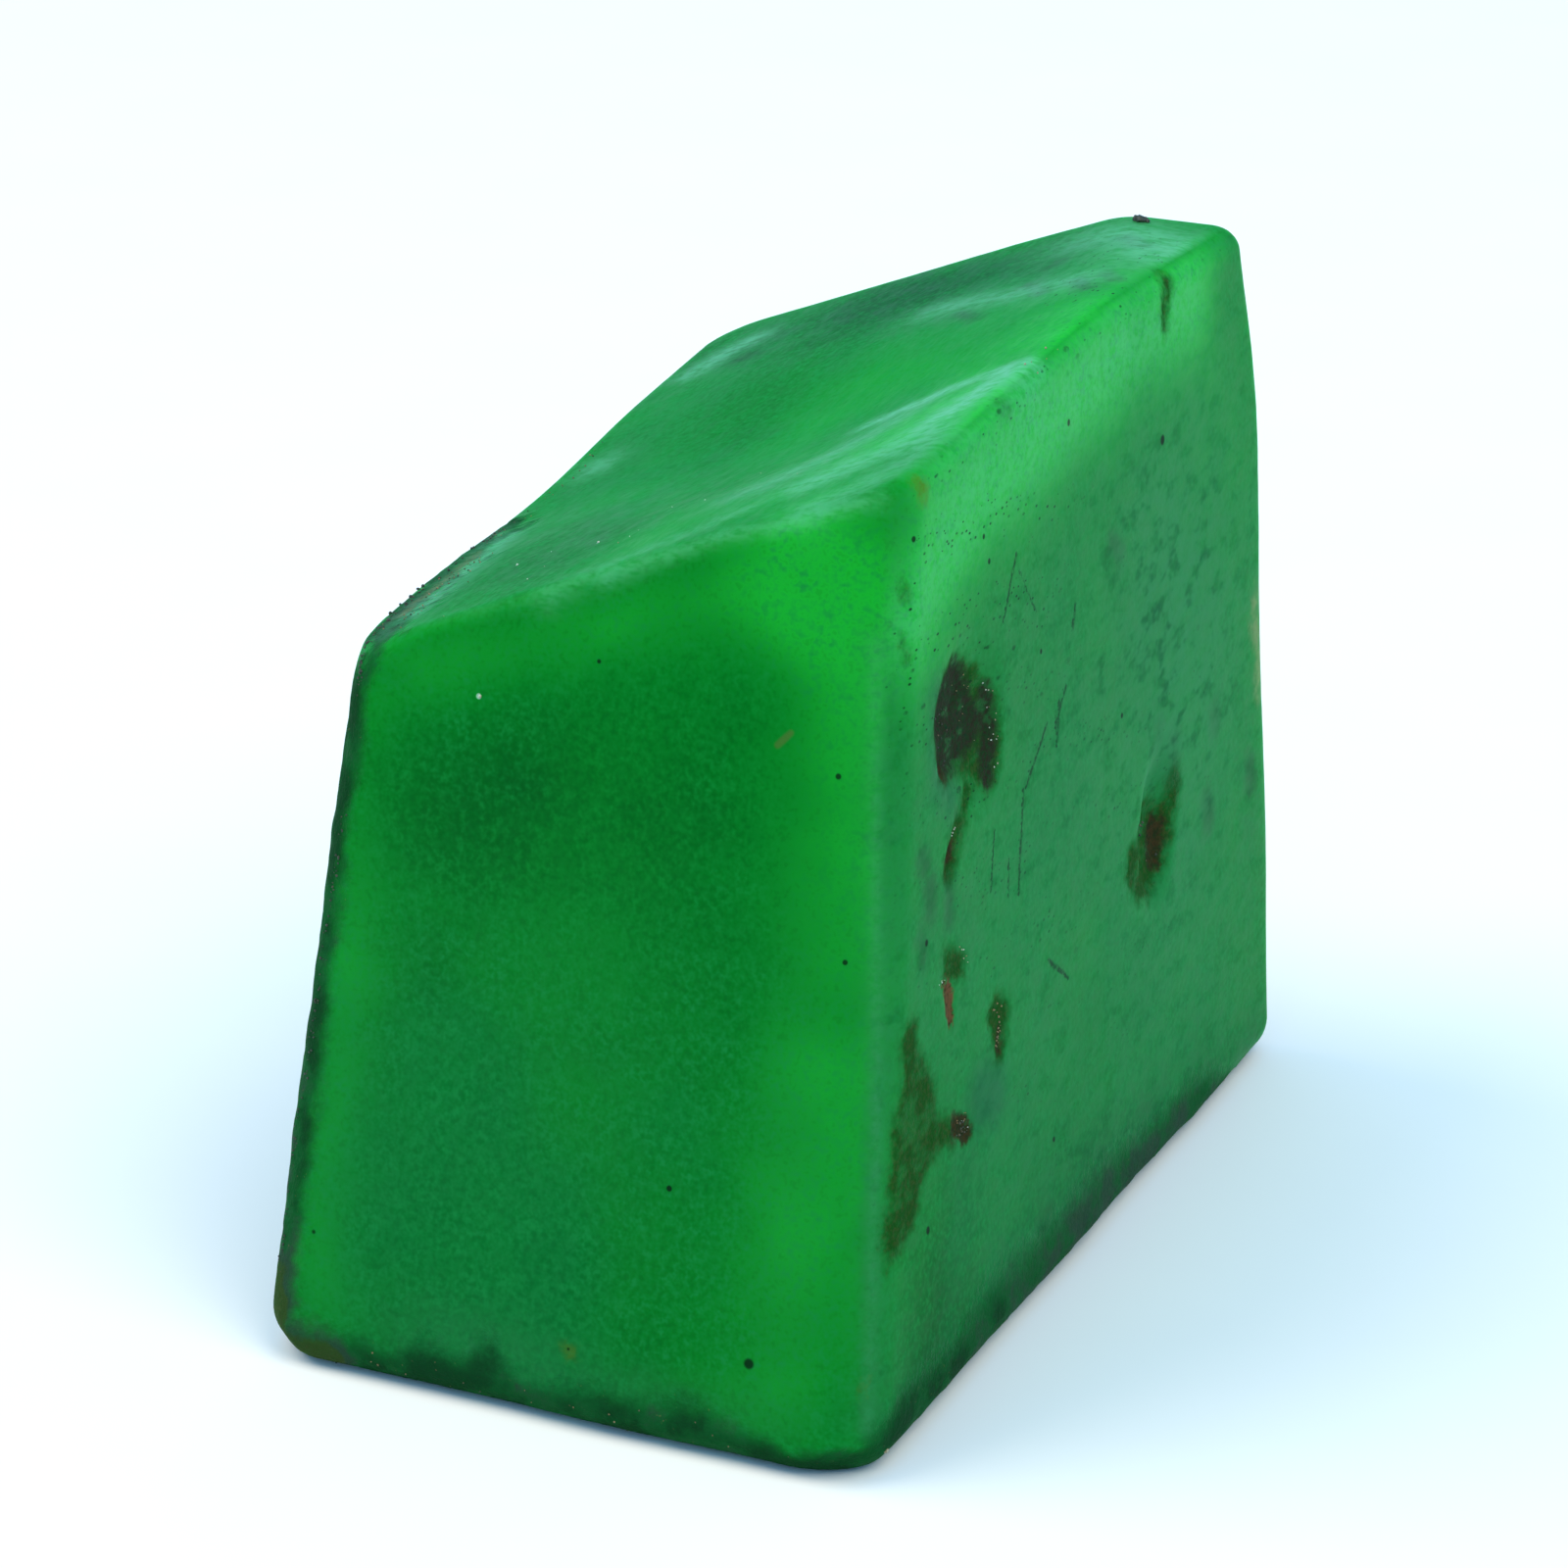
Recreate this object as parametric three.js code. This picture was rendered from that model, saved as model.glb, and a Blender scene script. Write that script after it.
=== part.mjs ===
import * as THREE from "three";
import { mergeVertices } from "three/addons/utils/BufferGeometryUtils.js";

// A raw emerald: one chunk of cloudy green stone, worn soft at its edges, resting on a flat base.
// Millimetres. X runs across the stone, Y along it, Z up from the base.

// The walls. heading: the way a wall faces, in degrees from +X. foot: a point of its line on the
// ground. lean: how far it tips inward as it rises, in degrees.
const WALLS = {
  front: { heading: -90, foot: [0, -18.93], lean: 13 },
  right: { heading: 0.7, foot: [11.04, 0], lean: 4.1 },
  back: { heading: 89.6, foot: [6.44, 17.8], lean: -2.5 },
  backLeft: { heading: 103.4, foot: [2.44, 21.9], lean: 10 },
  left: { heading: 181.1, foot: [-10.93, 0], lean: 3.1 },
};

// The top: a slope that falls to the left, a small level patch at the back right, and a shallow
// bevel over the front right corner. height is over the origin, rise is per millimetre of X and Y.
const SLOPE = { height: 28.13, rise: [0.432, 0.099] };
const LEVEL = { height: 31.76, rise: [-0.043, -0.048] };
const BEVEL = { height: 27.81, rise: [0.373, 0.072] };
const DISH = { at: [0.44, 0.1], spread: [9.3, 7], depth: 1.26 };
const LEVEL_BLEND = 0.8;
const BEVEL_BLEND = 0.35;

// Radii of the worn edges. The rim round the top is crisp on the left and softer on the right.
const FRONT_RIGHT_RADIUS = 1.9;
const BACK_RADIUS = 1.2;
const BACK_RIGHT_RADIUS = 1;
const LEFT_RADIUS = 1.6;
const BASE_RADIUS = 1.45;
const RIM_CRISP = 0.35;
const RIM_SOFT = 0.8;
const RIM_TURN_X = 2.4;
const RIM_TURN_WIDTH = 2;

// Corners rubbed off past the edge radii: a point of the rubbed flat and the way it faces.
const RUBBED = [
  { at: [8.58, 17.32, 30.62], facing: [0.62, 0.55, 0.56] },
  { at: [-9.2, -12.48, 22.74], facing: [-0.6, -0.45, 0.66] },
  { at: [-9.96, -17.93, 0.76], facing: [-0.62, -0.5, -0.6] },
  { at: [10.53, -17.4, 0.37], facing: [0.45, -0.7, -0.55] },
];
const RUBBED_BLEND = 0.5;

// Pits and hollows in the walls. at: distance along the wall (Y on the right and left, X on the
// back) and height. half: half sizes along and up. turn: degrees it tips over, towards +along.
const HOLLOWS = [
  { wall: "right", at: [-7.9, 21.4], half: [2.2, 2.6], turn: 12, depth: 0.35 },
  { wall: "right", at: [7.2, 12.3], half: [1.3, 2.3], turn: 14, depth: 0.5 },
  { wall: "back", at: [1.5, 15], half: [4.5, 6.5], turn: -20, depth: 0.55 },
  { wall: "left", at: [3.5, 10.5], half: [6.5, 4.5], turn: 15, depth: 0.5 },
];

// The slow swell of a worn surface: the height of its waves, and their lengths along X, Y and Z in
// millimetres per radian.
const SWELL = 0.035;
const SWELL_LENGTHS = [
  [1.6, 2.5, 3.1],
  [2.9, 1.9, 2.2],
  [2.1, 3.3, 1.7],
];

// The mesh: even columns over each face, with EDGE_STEPS narrow ones in a band along every edge.
// Each of its points lies on a ray from CORE, and is sought up to REACH times as far as the sharp
// block's, halving the interval HALVINGS times.
const STEPS = [24, 34, 28];
const EDGE_STEPS = 3;
const EDGE_BAND = 1.7;
const CORE = new THREE.Vector3(0, 0, 13);
const REACH = 2;
const HALVINGS = 34;

const radians = THREE.MathUtils.degToRad;

function wallPlane({ heading, foot, lean }) {
  const [h, l] = [radians(heading), radians(lean)];
  const normal = new THREE.Vector3(Math.cos(h) * Math.cos(l), Math.sin(h) * Math.cos(l), Math.sin(l));
  return new THREE.Plane().setFromNormalAndCoplanarPoint(normal, new THREE.Vector3(...foot, 0));
}

function topPlane({ height, rise }) {
  const normal = new THREE.Vector3(-rise[0], -rise[1], 1).normalize();
  return new THREE.Plane().setFromNormalAndCoplanarPoint(normal, new THREE.Vector3(0, 0, height));
}

const PLANES = Object.fromEntries(Object.entries(WALLS).map(([name, wall]) => [name, wallPlane(wall)]));
const SLOPE_PLANE = topPlane(SLOPE);
const LEVEL_PLANE = topPlane(LEVEL);
const BEVEL_PLANE = topPlane(BEVEL);
const BASE_PLANE = new THREE.Plane(new THREE.Vector3(0, 0, -1), 0);
const RUBBED_PLANES = RUBBED.map(({ at, facing }) =>
  new THREE.Plane().setFromNormalAndCoplanarPoint(
    new THREE.Vector3(...facing).normalize(),
    new THREE.Vector3(...at),
  ),
);

// Two half spaces meeting in an edge of radius r. a and b are distances outside each.
function roundEdge(a, b, r) {
  return Math.min(-r, Math.max(a, b)) + Math.hypot(Math.max(a + r, 0), Math.max(b + r, 0));
}

// The larger of two distances, blended over k where they are close.
function softMax(a, b, k) {
  const h = Math.max(k - Math.abs(a - b), 0) / k;
  return Math.max(a, b) + (h * h * k) / 4;
}

function hollowDepth(wall, p) {
  const along = wall === "back" ? p.x : p.y;
  return HOLLOWS.filter((hollow) => hollow.wall === wall).reduce((sum, { at, half, turn, depth }) => {
    const [c, s] = [Math.cos(radians(turn)), Math.sin(radians(turn))];
    const [u, v] = [along - at[0], p.z - at[1]];
    const d2 = ((u * c - v * s) / half[0]) ** 2 + ((u * s + v * c) / half[1]) ** 2;
    return sum + depth * Math.exp(-d2 * d2);
  }, 0);
}

// How far p is outside the stone, negative inside.
function outside(p) {
  const wall = (name) => PLANES[name].distanceToPoint(p) + hollowDepth(name, p);
  const frontRight = roundEdge(wall("front"), wall("right"), FRONT_RIGHT_RADIUS);
  const backs = roundEdge(wall("back"), wall("backLeft"), BACK_RADIUS);
  const sides = roundEdge(
    roundEdge(frontRight, backs, BACK_RIGHT_RADIUS),
    wall("left"),
    LEFT_RADIUS,
  );

  const dishX = (p.x - DISH.at[0]) / DISH.spread[0];
  const dishY = (p.y - DISH.at[1]) / DISH.spread[1];
  const dish = DISH.depth * Math.exp(-dishX * dishX - dishY * dishY) * SLOPE_PLANE.normal.z;
  const slope = SLOPE_PLANE.distanceToPoint(p) + dish;
  const level = LEVEL_PLANE.distanceToPoint(p);
  const top = softMax(softMax(slope, level, LEVEL_BLEND), BEVEL_PLANE.distanceToPoint(p), BEVEL_BLEND);
  const rimShare = 1 / (1 + Math.exp(-(p.x - RIM_TURN_X) / RIM_TURN_WIDTH));
  const rim = RIM_CRISP + (RIM_SOFT - RIM_CRISP) * rimShare;

  const swell = SWELL_LENGTHS.reduce(
    (sum, [lx, ly, lz], i) =>
      sum + SWELL * Math.sin(p.x / lx + i) * Math.sin(p.y / ly + 2 * i) * Math.cos(p.z / lz - i),
    0,
  );
  const block = roundEdge(roundEdge(sides, top, rim) + swell, BASE_PLANE.distanceToPoint(p), BASE_RADIUS);
  return RUBBED_PLANES.reduce((d, plane) => softMax(d, plane.distanceToPoint(p), RUBBED_BLEND), block);
}

// Where three planes meet: a sharp corner the worn one is drawn in from.
function corner(a, b, c) {
  const bc = new THREE.Vector3().crossVectors(b.normal, c.normal);
  const ca = new THREE.Vector3().crossVectors(c.normal, a.normal);
  const ab = new THREE.Vector3().crossVectors(a.normal, b.normal);
  const scale = -1 / a.normal.dot(bc);
  return bc
    .multiplyScalar(a.constant)
    .addScaledVector(ca, b.constant)
    .addScaledVector(ab, c.constant)
    .multiplyScalar(scale);
}

const { front, right, back, backLeft, left } = PLANES;
const LOW = [
  [corner(left, front, BASE_PLANE), corner(front, right, BASE_PLANE)],
  [corner(left, backLeft, BASE_PLANE), corner(right, back, BASE_PLANE)],
];
const HIGH = [
  [corner(left, front, SLOPE_PLANE), corner(front, right, BEVEL_PLANE)],
  [corner(left, backLeft, SLOPE_PLANE), corner(right, backLeft, LEVEL_PLANE)],
];

// Shares 0 to 1 of the sharp block's width, length and height to a point of the block. Its top is
// the lowest of the three top planes, so the grid's border lines run along the real rim.
function blockPoint(u, v, w) {
  const across = (corners) =>
    corners[0][0].clone().lerp(corners[0][1], u).lerp(corners[1][0].clone().lerp(corners[1][1], u), v);
  const high = across(HIGH);
  high.z = Math.min(
    ...[SLOPE, LEVEL, BEVEL].map(({ height, rise }) => height + rise[0] * high.x + rise[1] * high.y),
  );
  return across(LOW).lerp(high, w);
}

// Share of the width at which grid line i of n lies, with the narrow columns along both edges.
function gridShare(i, n, width) {
  const band = EDGE_BAND / width;
  if (i <= EDGE_STEPS) return (band * i) / EDGE_STEPS;
  if (i >= n - EDGE_STEPS) return 1 - (band * (n - i)) / EDGE_STEPS;
  return band + ((1 - 2 * band) * (i - EDGE_STEPS)) / (n - 2 * EDGE_STEPS);
}

// The point of the worn surface on the ray from the core through a point of the block.
function wornPoint(target) {
  const ray = target.sub(CORE);
  let [near, far] = [0, REACH];
  const p = new THREE.Vector3();
  for (let i = 0; i < HALVINGS; i++) {
    const middle = (near + far) / 2;
    if (outside(p.copy(CORE).addScaledVector(ray, middle)) < 0) near = middle;
    else far = middle;
  }
  return p.copy(CORE).addScaledVector(ray, near);
}

function stoneGeometry() {
  const box = new THREE.BoxGeometry(...STEPS, ...STEPS);
  box.deleteAttribute("normal");
  box.deleteAttribute("uv");
  const geometry = mergeVertices(box, 1e-3);
  const size = new THREE.Box3().setFromPoints([...LOW.flat(), ...HIGH.flat()]).getSize(new THREE.Vector3());
  const position = geometry.getAttribute("position");
  for (let i = 0; i < position.count; i++) {
    const [u, v, w] = [position.getX(i), position.getY(i), position.getZ(i)].map((value, axis) =>
      gridShare(Math.round(value + STEPS[axis] / 2), STEPS[axis], size.getComponent(axis)),
    );
    const p = wornPoint(blockPoint(u, v, w));
    position.setXYZ(i, p.x, p.y, p.z < 1e-4 ? 0 : p.z);
  }

  // The origin goes to the middle of the bounding box's floor.
  geometry.computeBoundingBox();
  const middle = geometry.boundingBox.getCenter(new THREE.Vector3());
  geometry.translate(-middle.x, -middle.y, 0);
  geometry.computeVertexNormals();
  return geometry;
}

const emerald = new THREE.Mesh(
  stoneGeometry(),
  new THREE.MeshStandardMaterial({ color: 0x14803f, roughness: 0.35, metalness: 0 }),
);
emerald.name = "raw_emerald";

const group = new THREE.Group();
group.name = "emerald";
group.add(emerald);

export default group;
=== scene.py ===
"""Looks of the raw emerald: one worn, cloudy green stone with stained pits, and the grit stuck to it."""

import itertools
import math

import bmesh
import bpy
import numpy as np
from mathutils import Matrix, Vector
from mathutils.bvhtree import BVHTree


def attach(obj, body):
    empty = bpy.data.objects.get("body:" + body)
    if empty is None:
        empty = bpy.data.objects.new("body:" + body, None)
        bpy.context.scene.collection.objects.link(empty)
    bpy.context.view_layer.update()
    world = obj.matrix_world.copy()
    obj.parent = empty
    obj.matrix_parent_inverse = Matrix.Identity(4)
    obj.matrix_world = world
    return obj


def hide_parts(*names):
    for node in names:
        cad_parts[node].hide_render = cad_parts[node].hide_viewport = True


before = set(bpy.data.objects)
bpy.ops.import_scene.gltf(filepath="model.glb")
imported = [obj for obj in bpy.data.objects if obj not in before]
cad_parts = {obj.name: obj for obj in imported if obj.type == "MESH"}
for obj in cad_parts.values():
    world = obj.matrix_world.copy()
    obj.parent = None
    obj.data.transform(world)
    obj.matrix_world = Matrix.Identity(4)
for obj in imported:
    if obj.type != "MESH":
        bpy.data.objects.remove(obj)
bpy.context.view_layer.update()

# All forms are worked out in millimetres, in the part's frame, and become metres in the meshes.
MM = 0.001

# ---- The stone's form ----
# Walls: heading in degrees from +X, a foot on the ground, lean inward in degrees.
WALLS = {
    "front": (-90, (0, -18.93), 13),
    "right": (0.7, (11.04, 0), 4.1),
    "back": (89.6, (6.44, 17.8), -2.5),
    "back_left": (103.4, (2.44, 21.9), 10),
    "left": (181.1, (-10.93, 0), 3.1),
}
# Tops: height over the origin, rise per millimetre of X and Y.
TOPS = {
    "slope": (28.13, (0.432, 0.099)),
    "level": (31.76, (-0.043, -0.048)),
    "bevel": (27.81, (0.373, 0.072)),
}
DISH_AT = (0.44, 0.1)
DISH_SPREAD = (9.3, 7)
DISH_DEPTH = 1.26
LEVEL_BLEND = 0.8
BEVEL_BLEND = 0.35

FRONT_RIGHT_RADIUS = 1.9
BACK_RADIUS = 1.2
BACK_RIGHT_RADIUS = 1
LEFT_RADIUS = 1.6
BASE_RADIUS = 1.45
RIM_CRISP = 0.35
RIM_SOFT = 0.8
RIM_TURN_X = 2.4
RIM_TURN_WIDTH = 2

# Rubbed corners: a point of the flat and the way it faces.
RUBBED = [
    ((8.58, 17.32, 30.62), (0.62, 0.55, 0.56)),
    ((-9.2, -12.48, 22.74), (-0.6, -0.45, 0.66)),
    ((-9.96, -17.93, 0.76), (-0.62, -0.5, -0.6)),
    ((10.53, -17.4, 0.37), (0.45, -0.7, -0.55)),
]
RUBBED_BLEND = 0.5

# Hollows: wall, place (along, up), half sizes, turn in degrees, depth.
HOLLOWS = [
    ("right", (-7.9, 21.4), (2.2, 2.6), 12, 0.35),
    ("right", (7.2, 12.3), (1.3, 2.3), 14, 0.5),
    ("back", (1.5, 15), (4.5, 6.5), -20, 0.55),
    ("left", (3.5, 10.5), (6.5, 4.5), 15, 0.5),
]
SWELL = 0.035
SWELL_LENGTHS = [(1.6, 2.5, 3.1), (2.9, 1.9, 2.2), (2.1, 3.3, 1.7)]

# The mesh: steps across, along and up, and rays from the core that are halved to find the surface.
STEPS = (100, 150, 125)
CORE = np.array((0, 0, 13.0))
REACH = 2
HALVINGS = 34
SLOPE_STEP = 0.02


def wall_plane(heading, foot, lean):
    h = math.radians(heading)
    tip = math.radians(lean)
    normal = np.array((math.cos(h) * math.cos(tip), math.sin(h) * math.cos(tip), math.sin(tip)))
    return normal, normal @ (*foot, 0)


def top_plane(height, rise):
    normal = np.array((-rise[0], -rise[1], 1.0))
    normal /= np.linalg.norm(normal)
    return normal, normal[2] * height


PLANES = {name: wall_plane(*wall) for name, wall in WALLS.items()}
PLANES.update({name: top_plane(*top) for name, top in TOPS.items()})
PLANES["base"] = (np.array((0, 0, -1.0)), 0)


def distance(name, p):
    """How far the points are outside that plane."""
    normal, offset = PLANES[name]
    return p @ normal - offset


def round_edge(a, b, radius):
    arc = np.hypot(np.maximum(a + radius, 0), np.maximum(b + radius, 0))
    return np.minimum(-radius, np.maximum(a, b)) + arc


def soft_max(a, b, blend):
    h = np.maximum(blend - np.abs(a - b), 0) / blend
    return np.maximum(a, b) + h * h * blend / 4


def along_wall(wall, p):
    """The points' places on a wall: how far along it, and how high (how far back, on the top)."""
    if wall == "top":
        return p[:, 0], p[:, 1]
    return (p[:, 0] if wall in ("front", "back", "back_left") else p[:, 1]), p[:, 2]


def oval(wall, p, at, half, turn=0):
    """Squared distance from a turned oval's middle, 1 on its outline."""
    a, b = along_wall(wall, p)
    c = math.cos(math.radians(turn))
    s = math.sin(math.radians(turn))
    u = a - at[0]
    v = b - at[1]
    return ((u * c - v * s) / half[0]) ** 2 + ((u * s + v * c) / half[1]) ** 2


def wall_distance(name, p):
    total = distance(name, p)
    for wall, at, half, turn, depth in HOLLOWS:
        if wall == name:
            total = total + depth * np.exp(-oval(wall, p, at, half, turn) ** 2)
    return total


def top_distance(p):
    dish_x = (p[:, 0] - DISH_AT[0]) / DISH_SPREAD[0]
    dish_y = (p[:, 1] - DISH_AT[1]) / DISH_SPREAD[1]
    dish = DISH_DEPTH * np.exp(-dish_x * dish_x - dish_y * dish_y) * PLANES["slope"][0][2]
    slope = distance("slope", p) + dish
    return soft_max(soft_max(slope, distance("level", p), LEVEL_BLEND), distance("bevel", p), BEVEL_BLEND)


def outside(p):
    """How far the points are outside the stone, negative inside."""
    front_right = round_edge(wall_distance("front", p), wall_distance("right", p), FRONT_RIGHT_RADIUS)
    backs = round_edge(wall_distance("back", p), wall_distance("back_left", p), BACK_RADIUS)
    sides = round_edge(front_right, backs, BACK_RIGHT_RADIUS)
    sides = round_edge(sides, wall_distance("left", p), LEFT_RADIUS)
    rim_share = 1 / (1 + np.exp(-(p[:, 0] - RIM_TURN_X) / RIM_TURN_WIDTH))
    block = round_edge(sides, top_distance(p), RIM_CRISP + (RIM_SOFT - RIM_CRISP) * rim_share)
    for i, (lx, ly, lz) in enumerate(SWELL_LENGTHS):
        waves = np.sin(p[:, 0] / lx + i) * np.sin(p[:, 1] / ly + 2 * i) * np.cos(p[:, 2] / lz - i)
        block = block + SWELL * waves
    block = round_edge(block, distance("base", p), BASE_RADIUS)
    for at, facing in RUBBED:
        normal = np.array(facing) / np.linalg.norm(facing)
        block = soft_max(block, (p - at) @ normal, RUBBED_BLEND)
    return block


def corner(*names):
    normals = np.array([PLANES[name][0] for name in names])
    return np.linalg.solve(normals, [PLANES[name][1] for name in names])


def block_grid(nx, ny, nz):
    """The skin of a grid of nx x ny x nz steps: each point's share of the sides, and quads facing out."""
    shape = (nx + 1, ny + 1, nz + 1)
    skin = np.zeros(shape, bool)
    skin[[0, -1]] = True
    skin[:, [0, -1]] = True
    skin[:, :, [0, -1]] = True
    index = np.full(shape, -1)
    index[skin] = np.arange(skin.sum())

    def sheet(plane, flip):
        quads = np.stack((plane[:-1, :-1], plane[1:, :-1], plane[1:, 1:], plane[:-1, 1:]), -1).reshape(-1, 4)
        return quads[:, ::-1] if flip else quads

    quads = [
        sheet(index[0], True),
        sheet(index[-1], False),
        sheet(index[:, 0], False),
        sheet(index[:, -1], True),
        sheet(index[:, :, 0], True),
        sheet(index[:, :, -1], False),
    ]
    return np.argwhere(skin) / (nx, ny, nz), np.concatenate(quads)


def block_points(shares):
    """Points of the sharp block at those shares of its width, length and height."""
    u, v, w = (shares[:, i : i + 1] for i in range(3))

    def across(front_left, front_right, back_left, back_right):
        front = front_left * (1 - u) + front_right * u
        back = back_left * (1 - u) + back_right * u
        return front * (1 - v) + back * v

    low = across(
        corner("left", "front", "base"),
        corner("front", "right", "base"),
        corner("left", "back_left", "base"),
        corner("right", "back", "base"),
    )
    high = across(
        corner("left", "front", "slope"),
        corner("front", "right", "bevel"),
        corner("left", "back_left", "slope"),
        corner("right", "back_left", "level"),
    )
    heights = [height + rise[0] * high[:, 0] + rise[1] * high[:, 1] for height, rise in TOPS.values()]
    high[:, 2] = np.min(heights, axis=0)
    return low * (1 - w) + high * w


def worn_points(targets):
    """The points of the worn surface on the rays from the core through the targets."""
    rays = targets - CORE
    near = np.zeros(len(rays))
    far = np.full(len(rays), float(REACH))
    for _ in range(HALVINGS):
        middle = (near + far) / 2
        inside = outside(CORE + rays * middle[:, None]) < 0
        near = np.where(inside, middle, near)
        far = np.where(inside, far, middle)
    return CORE + rays * near[:, None]


def facing_out(p):
    """Unit normals of the worn surface."""
    slopes = [outside(p + SLOPE_STEP * axis) - outside(p - SLOPE_STEP * axis) for axis in np.eye(3)]
    normals = np.stack(slopes, -1)
    return normals / np.linalg.norm(normals, axis=1, keepdims=True)


# ---- Stains and pits ----
# Kind, how deep they are sunk, then an outline as (along, up), or a line and a radius.
# Along edges the line's places are (x, y, z); a radius below 0 leaves only a faint stain.
RIGHT_STAINS = [
    # The large patch on the right wall, and its tail.
    ("olive", 0.06, [
        (-8.7, 24), (-7.6, 23.4), (-6.7, 22.9), (-6, 22.2), (-5.5, 21.6), (-5.4, 20), (-5.8, 18.9),
        (-6.4, 18.6), (-7.1, 18.9), (-7.5, 19.5), (-8.8, 19.9), (-9.7, 20), (-10.3, 20.5), (-10.5, 22.1),
        (-10.2, 23), (-9.4, 23.7)]),
    ("umber", 0.06, [
        (-8.5, 23.8), (-7.6, 23.2), (-7, 22.4), (-6.8, 21.7), (-6.3, 21.2), (-6.6, 20.5), (-7.4, 20.2),
        (-9.4, 20.1), (-10.1, 20.6), (-10.2, 22.1), (-9.9, 22.9), (-9.2, 23.5)]),
    ("umber", 0.05, [(-6.1, 21.7), (-6, 20.6), (-6.3, 19.9), (-6.5, 19.2)], 0.4),
    ("rust", 0, [(-10, 21), (-9.6, 20.2)], 0.18),
    ("smudge", 0, [(-10.1, 23), (-10.2, 20.6), (-9.4, 19.6)], 0.7),
    ("olive", 0.06, [(-7.8, 19.3), (-8.3, 18.8)], 0.3),
    ("olive", 0.08, [(-8.9, 18.5), (-10.1, 17.5)], 0.5),
    ("rust", 0.06, [(-9.5, 18.1), (-9.9, 17.8)], 0.2),
    ("tint", 0.02, [(-10, 17.4), (-10.3, 15.9)], 0.4),
    ("tint", 0, [(-12, 18.5), (-11.9, 18.2)], 0.42),
    ("tint", 0, [(-11.6, 17.4), (-11.7, 16.8)], 0.5),
    # The red chip with the olive patch over it.
    ("olive", 0.05, [(-10.9, 15.1), (-10, 14.8), (-9.1, 14.2), (-9.3, 13.6), (-10.3, 13.7), (-10.9, 14.2)]),
    ("chip", 0.1, [
        (-11.2, 14.2), (-10.3, 13.8), (-10.2, 12.9), (-10.5, 12.3), (-10.8, 12.4), (-10.9, 13.2)]),
    # The long olive stain near the front edge.
    ("olive", 0.02, [
        (-13.6, 14), (-13.1, 13.7), (-13.2, 12.9), (-12.4, 11.7), (-12, 10.8), (-12, 10),
        (-11.4, 9.5), (-11.5, 8.8), (-12.6, 8.7), (-13.3, 8.4), (-13.8, 7.7), (-14.3, 7.1), (-15.1, 6.9),
        (-16.1, 6.6), (-16.3, 7.2), (-16.1, 8), (-15.6, 9), (-15.2, 10.9), (-14.3, 12.2), (-14.4, 13.4)]),
    ("rust", 0.12, [(-11, 9.6), (-9.9, 9.1), (-9.4, 8.4), (-9.6, 8.1), (-10.4, 8.3), (-11, 8.8)]),
    ("olive", 0, [(-12.6, 9.7), (-10.9, 9)], 0.45),
    ("olive", 0.08, [
        (-6.8, 12.1), (-6, 11.4), (-6.3, 10.5), (-6.8, 9.8), (-7.5, 9.9), (-7.6, 10.9), (-7.9, 11.7)]),
    ("rust", 0.06, [(-6.9, 10.7), (-7.1, 10.3)], 0.16),
    # The ringed pit.
    ("olive", 0.04, [
        (7.6, 13.3), (8.5, 12.9), (8.9, 12.3), (8.8, 11.5), (8.2, 10.8), (7.4, 10.3), (6.3, 10),
        (4.8, 10.6), (4.1, 11.6), (4.6, 12.6), (6.2, 13.2)]),
    ("rust", 0.08, [
        (8, 12.5), (8.5, 12.2), (8.3, 11.5), (7.9, 10.9), (7.5, 10.6), (7.3, 10.8), (7.4, 11.5),
        (7.6, 12.2)]),
    ("umber", 0.02, [(7.6, 12.1), (7.4, 11)], 0.16),
    ("olive", 0.02, [(8.9, 12.8), (9, 13.4)], 0.5),
    ("tint", 0.02, [(9, 13.4), (9, 14.9)], 0.5),
    # Small marks.
    ("tint", 0, [(11.9, 11.5), (11.9, 10.9)], 0.55),
    ("tint", 0, [(12.9, 14.4), (12.9, 14.1)], 0.5),
    ("tint", 0, [(7.8, 15.7), (7.8, 15.5)], 0.4),
    ("tint", 0, [(16.1, 11.4), (16.1, 10.8)], 0.5),
    ("tint", 0, [(4.3, 23.4), (4.9, 22.8)], 0.4),
    ("tint", 0, [(-3.7, 3), (-4.6, 2.6)], 0.4),
    ("smudge", 0, [(-8.6, 9.2), (-7.8, 8.9)], 1),
    ("olive", 0, [(-12.1, 28.2), (-12, 27.9)], 0.12),
    ("olive", 0, [(-11.9, 27.2), (-11.6, 26.8)], 0.08),
    ("olive", 0, [(-12, 25.4), (-11.9, 25)], 0.1),
    ("tint", 0, [(-12.4, 16), (-12.4, 15.4)], 0.3),
]
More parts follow.
